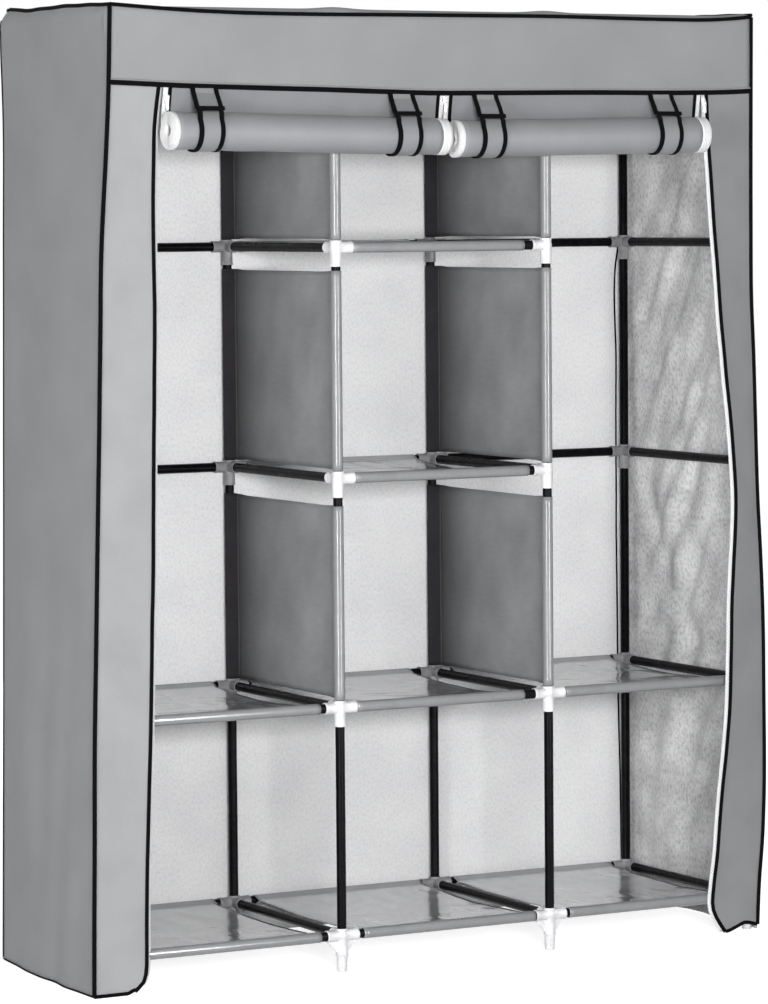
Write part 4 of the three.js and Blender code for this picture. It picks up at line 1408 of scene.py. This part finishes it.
def make_door(side, seed):
    """The rolled door with its tape ends on the door's body, and the flap above it."""
    facts = DOORS[side]
    (roll0, roll1), (axis0, axis1), (flap0, flap1) = facts["roll"], facts["axis"], facts["flap"]
    body, joint = f"{side}_door", f"{side}_door_lower"
    turns = (ROLL - ROLL_CORE) / ROLL_PITCH
    lump = waves(seed, 200, 40)
    slip = waves(seed + 1, 9, 3, 6)

    def axis_z(x):
        return axis0 + (axis1 - axis0) * (x - roll0) / (roll1 - roll0)

    def roll_place(low, high):
        """The spiral from the outer turn in, between two ends that wander a little from turn to turn."""

        def place(u, v):
            x = low + (high - low) * u + slip(v * turns, 0.0) * 1.5
            angle = -v * turns * math.tau
            squeeze = sum(1.6 * np.exp(-(((x - s + 13) / 34) ** 4)) for s in facts["straps"])
            radius = ROLL - CLOTH / 2 - ROLL_PITCH * turns * v + lump(x, angle * 16) * 0.9 - squeeze * (1 - v)
            depth = radius * np.cos(angle)
            # The roll's back is pressed flatter beside the centre zip, whose slider passes behind it
            depth = np.where(depth > 0, depth * (1 - 0.27 * smooth((24 - np.abs(x)) / 16)), depth)
            return x, ROLL_Y + depth, axis_z(x) + radius * np.sin(angle)

        return place

    down = np.linspace(0, 1, int(turns * 26))
    name = f"rolled_door_{side}"
    roll, roll_flat = cloth(name, roll_place(roll0, roll1), spread(44), down, (0, 1, 0), [door_cloth] * 2)
    tapes = []
    for end, low, high in (("outer", roll0 - 7, roll0 + 1), ("inner", roll1 - 2, roll1 + 15.5)):
        tape, _ = cloth(
            f"{name}_tape_{end}", roll_place(low, high), spread(4), down, (0, 1, 0), [tape_band] * 2,
            thickness=CLOTH + 0.5,
        )
        tapes.append(tape)
    on_body(roll, body, "cover_cloth", f"door_roll_{side}")
    for tape in tapes:
        on_body(tape, body, "zip_tape")
    declare(roll, roll_flat, "folded", [f"strap_band_{side}_outer", f"strap_band_{side}_inner"], tapes)

    # The flap hangs from behind the seam binding straight down to the roll's back, a little askew
    drop = table((0, -216.9), (0.5, -216.6), (1, -217.2))
    crease = waves(seed + 2, 160, 40)

    def flap_place(low, high, back=0.0):
        def place(u, v):
            x = low + (high - low) * u - 7 * v
            top = seam_line(x) + 2
            middle = np.sin(math.pi * v)
            return x, drop(v) + back + crease(x, v * 70) * 1.6 * middle, top + (axis_z(x) - 1 - top) * v

        return place

    flap, flap_flat = cloth(
        f"hanging_flap_{side}", flap_place(flap0, flap1), spread(90), spread(16), (0, -1, 0), [shaded_flap_cloth] * 2
    )
    trims = []
    shares = spread(16)
    for number, (x, away) in enumerate(((flap0, -1), (flap1, 1))):
        edge = points_of(flap_place(x, x), 0 * shares, shares)
        binding = sweep(
            f"flap_binding_{side}_{number}", edge + [0, -0.4, 0], (1, 0, 0), NARROW_BAND, binding_band
        )
        tape, _ = cloth(
            f"flap_tape_{side}_{number}", flap_place(x + away * 2, x + away * 11.5, 0.9), spread(3), shares,
            (0, -1, 0), [tape_band] * 2,
        )
        coil = zip_coil(f"flap_coil_{side}_{number}", edge + [away * 11.0, 0.9, 0])
        trims += [binding, tape, coil]
    start = tuple(placed((0, FACE, 1486)))
    end = tuple(placed((0, ROLL_Y + ROLL, (axis0 + axis1) / 2 + 6)))
    for piece in [flap] + trims:
        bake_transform(piece)
        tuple(end)
    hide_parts(f"door_flap_{side}")
    declare(flap, flap_flat, "hung", ["header_sheet"], trims)
    places = ("outer", "inner") if side == "left" else ("inner", "outer")
    for where, x in zip(places, facts["straps"]):
        node = f"door_strap_{side}_{where}"
        make_strap(f"{side}_{where}", joint, node, x, float(axis_z(x)), float(seam_line(x)))


make_door("left", 71)
make_door("right", 83)


# ---------------------------------------------------------------- zip sliders and pull tabs
# Outlines as (x, z) pairs
SHIELD = (
    (-5, 5.5), (-3.2, 7), (3.2, 7), (5, 5.5), (4.4, 0), (3.6, -5.6), (2.4, -7), (-2.4, -7), (-3.6, -5.6),
    (-4.4, 0),
)
PULL = (
    (-1.6, 1.0), (1.6, 1.0), (2.7, 0.2), (3, -3), (2.6, -8), (3, -16), (2.2, -18.6), (-2.2, -18.6), (-3, -16),
    (-2.6, -8), (-3, -3), (-2.7, 0.2),
)
NECK = ((-1.4, 6.6), (1.4, 6.6), (0.9, -3), (-0.9, -3))
EYE = ((-1.5, -1.2), (1.5, -1.2), (1.5, -5.4), (-1.5, -5.4))


def slider_shapes():
    """Shield-shaped plates in front of and behind the tape, with a neck between them."""
    plates = [extruded(SHIELD, low, high, 0.35) for low, high in ((-2.4, -0.95), (0.95, 2.4))]
    return plates + [extruded(NECK, -1.2, 1.2, 0.2)]


def bail_path(centre):
    """The bow on a slider's front that holds its pull."""
    x, y, z = centre
    return [(x, y - 2.0 - 3.4 * math.sin(a) ** 0.7, z + 3.6 * math.cos(a)) for a in np.linspace(0, math.pi, 13)]


def pull_shape():
    """Long plate with an eye near its top and a soft waist."""
    shapes = (extruded(PULL, -0.55, 0.55, 0.2), extruded(EYE, -2, 2, 0.05))
    return combined([(shape, Matrix.Identity(4)) for shape in shapes], "DIFFERENCE")


for name in ("left", "centre", "right"):
    low, high = (own(corner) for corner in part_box(f"zip_slider_{name}"))
    pull_low, pull_high = (own(corner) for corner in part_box(f"zip_pull_{name}"))
    seat = (float((low[0] + high[0]) / 2), float(high[1] - 2.4), float((low[2] + high[2]) / 2))
    seated = Matrix.Translation(seat)
    body = bm_piece(f"slider_body_{name}", [(shape, seated) for shape in slider_shapes()], nickel)
    bail = cord(f"slider_bail_{name}", [bail_path(seat)], 0.75, nickel, 8)
    whole = joined(f"slider_casting_{name}", [body, bail])
    on_body(whole, f"{name}_zip", "zip_metal", f"zip_slider_{name}")
    hinge = (seat[0], float((pull_low[1] + pull_high[1]) / 2), float(pull_high[2] - 1))
    tab = bm_piece(f"pull_tab_{name}", [(pull_shape(), Matrix.Translation(hinge))], nickel)
    on_body(tab, f"{name}_zip_pull", "zip_metal", f"zip_pull_{name}")


# ---------------------------------------------------------------- floor, light and camera
def make_floor():
    """Pale seamless paper. The camera sees it lifted towards white, and it keeps the wardrobe's shadow."""
    mesh = bpy.data.meshes.new("studio_floor")
    reach = 14.0
    corners = [(-reach, -reach, 0), (reach, -reach, 0), (reach, reach, 0), (-reach, reach, 0)]
    mesh.from_pydata(corners, [], [(0, 1, 2, 3)])
    floor = linked("studio_floor", mesh)
    material, tree, coords = new_material("seamless_paper", "Object")
    tooth = add_node(tree, "ShaderNodeTexNoise", {"Vector": coords, "Scale": 900.0})
    bump = add_node(tree, "ShaderNodeBump", {"Height": tooth, "Strength": 0.05, "Distance": 0.0002})
    diffuse = add_node(
        tree, "ShaderNodeBsdfDiffuse", {"Color": linear("#c4c4c4"), "Roughness": 0.3, "Normal": bump}
    )
    camera = add_node(tree, "ShaderNodeLightPath", out="Is Camera Ray")
    glossy = add_node(tree, "ShaderNodeLightPath", out="Is Glossy Ray")
    seen = add_node(tree, "ShaderNodeMath", {0: camera, 1: glossy}, operation="MAXIMUM")
    away = add_node(tree, "ShaderNodeVectorMath", {0: coords}, out="Value", operation="LENGTH")
    paler = add_node(
        tree,
        "ShaderNodeMapRange",
        {"Value": away, "From Min": 1.2, "From Max": 4.5, "To Min": 0.8, "To Max": 1.0},
    )
    strength = add_node(tree, "ShaderNodeMath", {0: seen, 1: paler}, operation="MULTIPLY")
    lift = add_node(tree, "ShaderNodeEmission", {"Color": (1, 1, 1, 1), "Strength": strength})
    surface = add_node(tree, "ShaderNodeAddShader", {0: diffuse, 1: lift})
    add_node(tree, "ShaderNodeOutputMaterial", {"Surface": surface})
    mesh.materials.append(material)
    floor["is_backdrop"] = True


def make_world(fill):
    """White to the camera; a low even fill for everything else."""
    world = bpy.data.worlds.new("studio")
    bpy.context.scene.world = world
    world.use_nodes = True
    tree = world.node_tree
    tree.nodes.clear()
    camera = add_node(tree, "ShaderNodeLightPath", out="Is Camera Ray")
    through = add_node(tree, "ShaderNodeLightPath", out="Is Transmission Ray")
    glossy = add_node(tree, "ShaderNodeLightPath", out="Is Glossy Ray")
    either = add_node(tree, "ShaderNodeMath", {0: camera, 1: through}, operation="MAXIMUM")
    seen = add_node(tree, "ShaderNodeMath", {0: either, 1: glossy}, operation="MAXIMUM")
    strength = add_node(tree, "ShaderNodeMapRange", {"Value": seen, "To Min": fill, "To Max": 1.0})
    light = add_node(tree, "ShaderNodeBackground", {"Color": (1, 1, 1, 1), "Strength": strength})
    add_node(tree, "ShaderNodeOutputWorld", {"Surface": light})


def softbox(name, azimuth, distance, height, size, power, in_gloss=False, in_diffuse=True):
    """Area lamp that faces the wardrobe's middle; azimuth is in degrees from the front, left is negative."""
    data = bpy.data.lights.new(name, "AREA")
    data.shape, data.size, data.size_y = "RECTANGLE", size[0], size[1]
    data.energy = power
    lamp = linked(name, data)
    turn = math.radians(azimuth)
    lamp.location = Vector((math.sin(turn) * distance, -math.cos(turn) * distance, height)) + Vector(SHIFT)
    aim = Vector(placed((0, 0, 850))) - lamp.location
    lamp.rotation_euler = aim.to_track_quat("-Z", "Y").to_euler()
    lamp.visible_camera = False
    lamp.visible_glossy = in_gloss
    lamp.visible_diffuse = in_diffuse


def make_camera():
    """The photo's view, as fitted to the frame's connectors; angles in radians, focal length in pixels."""
    eye = (-3561.28169, -6526.36317, 1286.93620)
    yaw, pitch, roll = 0.498868390, -0.0682533067, -0.00835391253
    focal_length, picture_height = 4260.73819, 1004
    ahead = Vector((math.sin(yaw) * math.cos(pitch), math.cos(yaw) * math.cos(pitch), math.sin(pitch)))
    right = Vector((math.cos(yaw), -math.sin(yaw), 0))
    up = right.cross(ahead)
    turned_right = math.cos(roll) * right + math.sin(roll) * up
    turned_up = -math.sin(roll) * right + math.cos(roll) * up
    data = bpy.data.cameras.new("camera")
    data.sensor_width = 36.0
    data.lens = data.sensor_width * focal_length / picture_height
    data.clip_start, data.clip_end = 0.1, 100.0
    camera = linked("camera", data)
    turn = Matrix((turned_right, turned_up, -ahead)).transposed().to_4x4()
    camera.matrix_world = Matrix.Translation(Vector(placed(eye))) @ turn
    bpy.context.scene.camera = camera


# name, azimuth in degrees, distance and height in metres, size in metres, power in watts; the strip
# lamps only give the glossy tubes and sleeves their streaks
LAMPS = (
    ("key_softbox", -20, 6.0, 1.3, (1.6, 0.7), 256),
    ("side_key_softbox", -60, 5.0, 0.95, (1.4, 1.3), 95),
    ("right_softbox", 90, 4.2, 1.3, (2.4, 2.4), 90),
    ("back_softbox", 170, 4.2, 1.5, (3.0, 2.6), 120),
    ("left_strip_softbox", -45, 3.4, 1.0, (0.45, 2.6), 120, True, False),
    ("right_strip_softbox", 14, 3.4, 1.0, (0.45, 2.6), 120, True, False),
)
bpy.context.scene.view_settings.view_transform = "Standard"
make_floor()
make_world(0.1)
for lamp in LAMPS:
    softbox(*lamp)
make_camera()

bpy.context.view_layer.update()
low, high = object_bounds()
{"cad": [list(cad_low), list(cad_high)], "visual": [list(low), list(high)]}
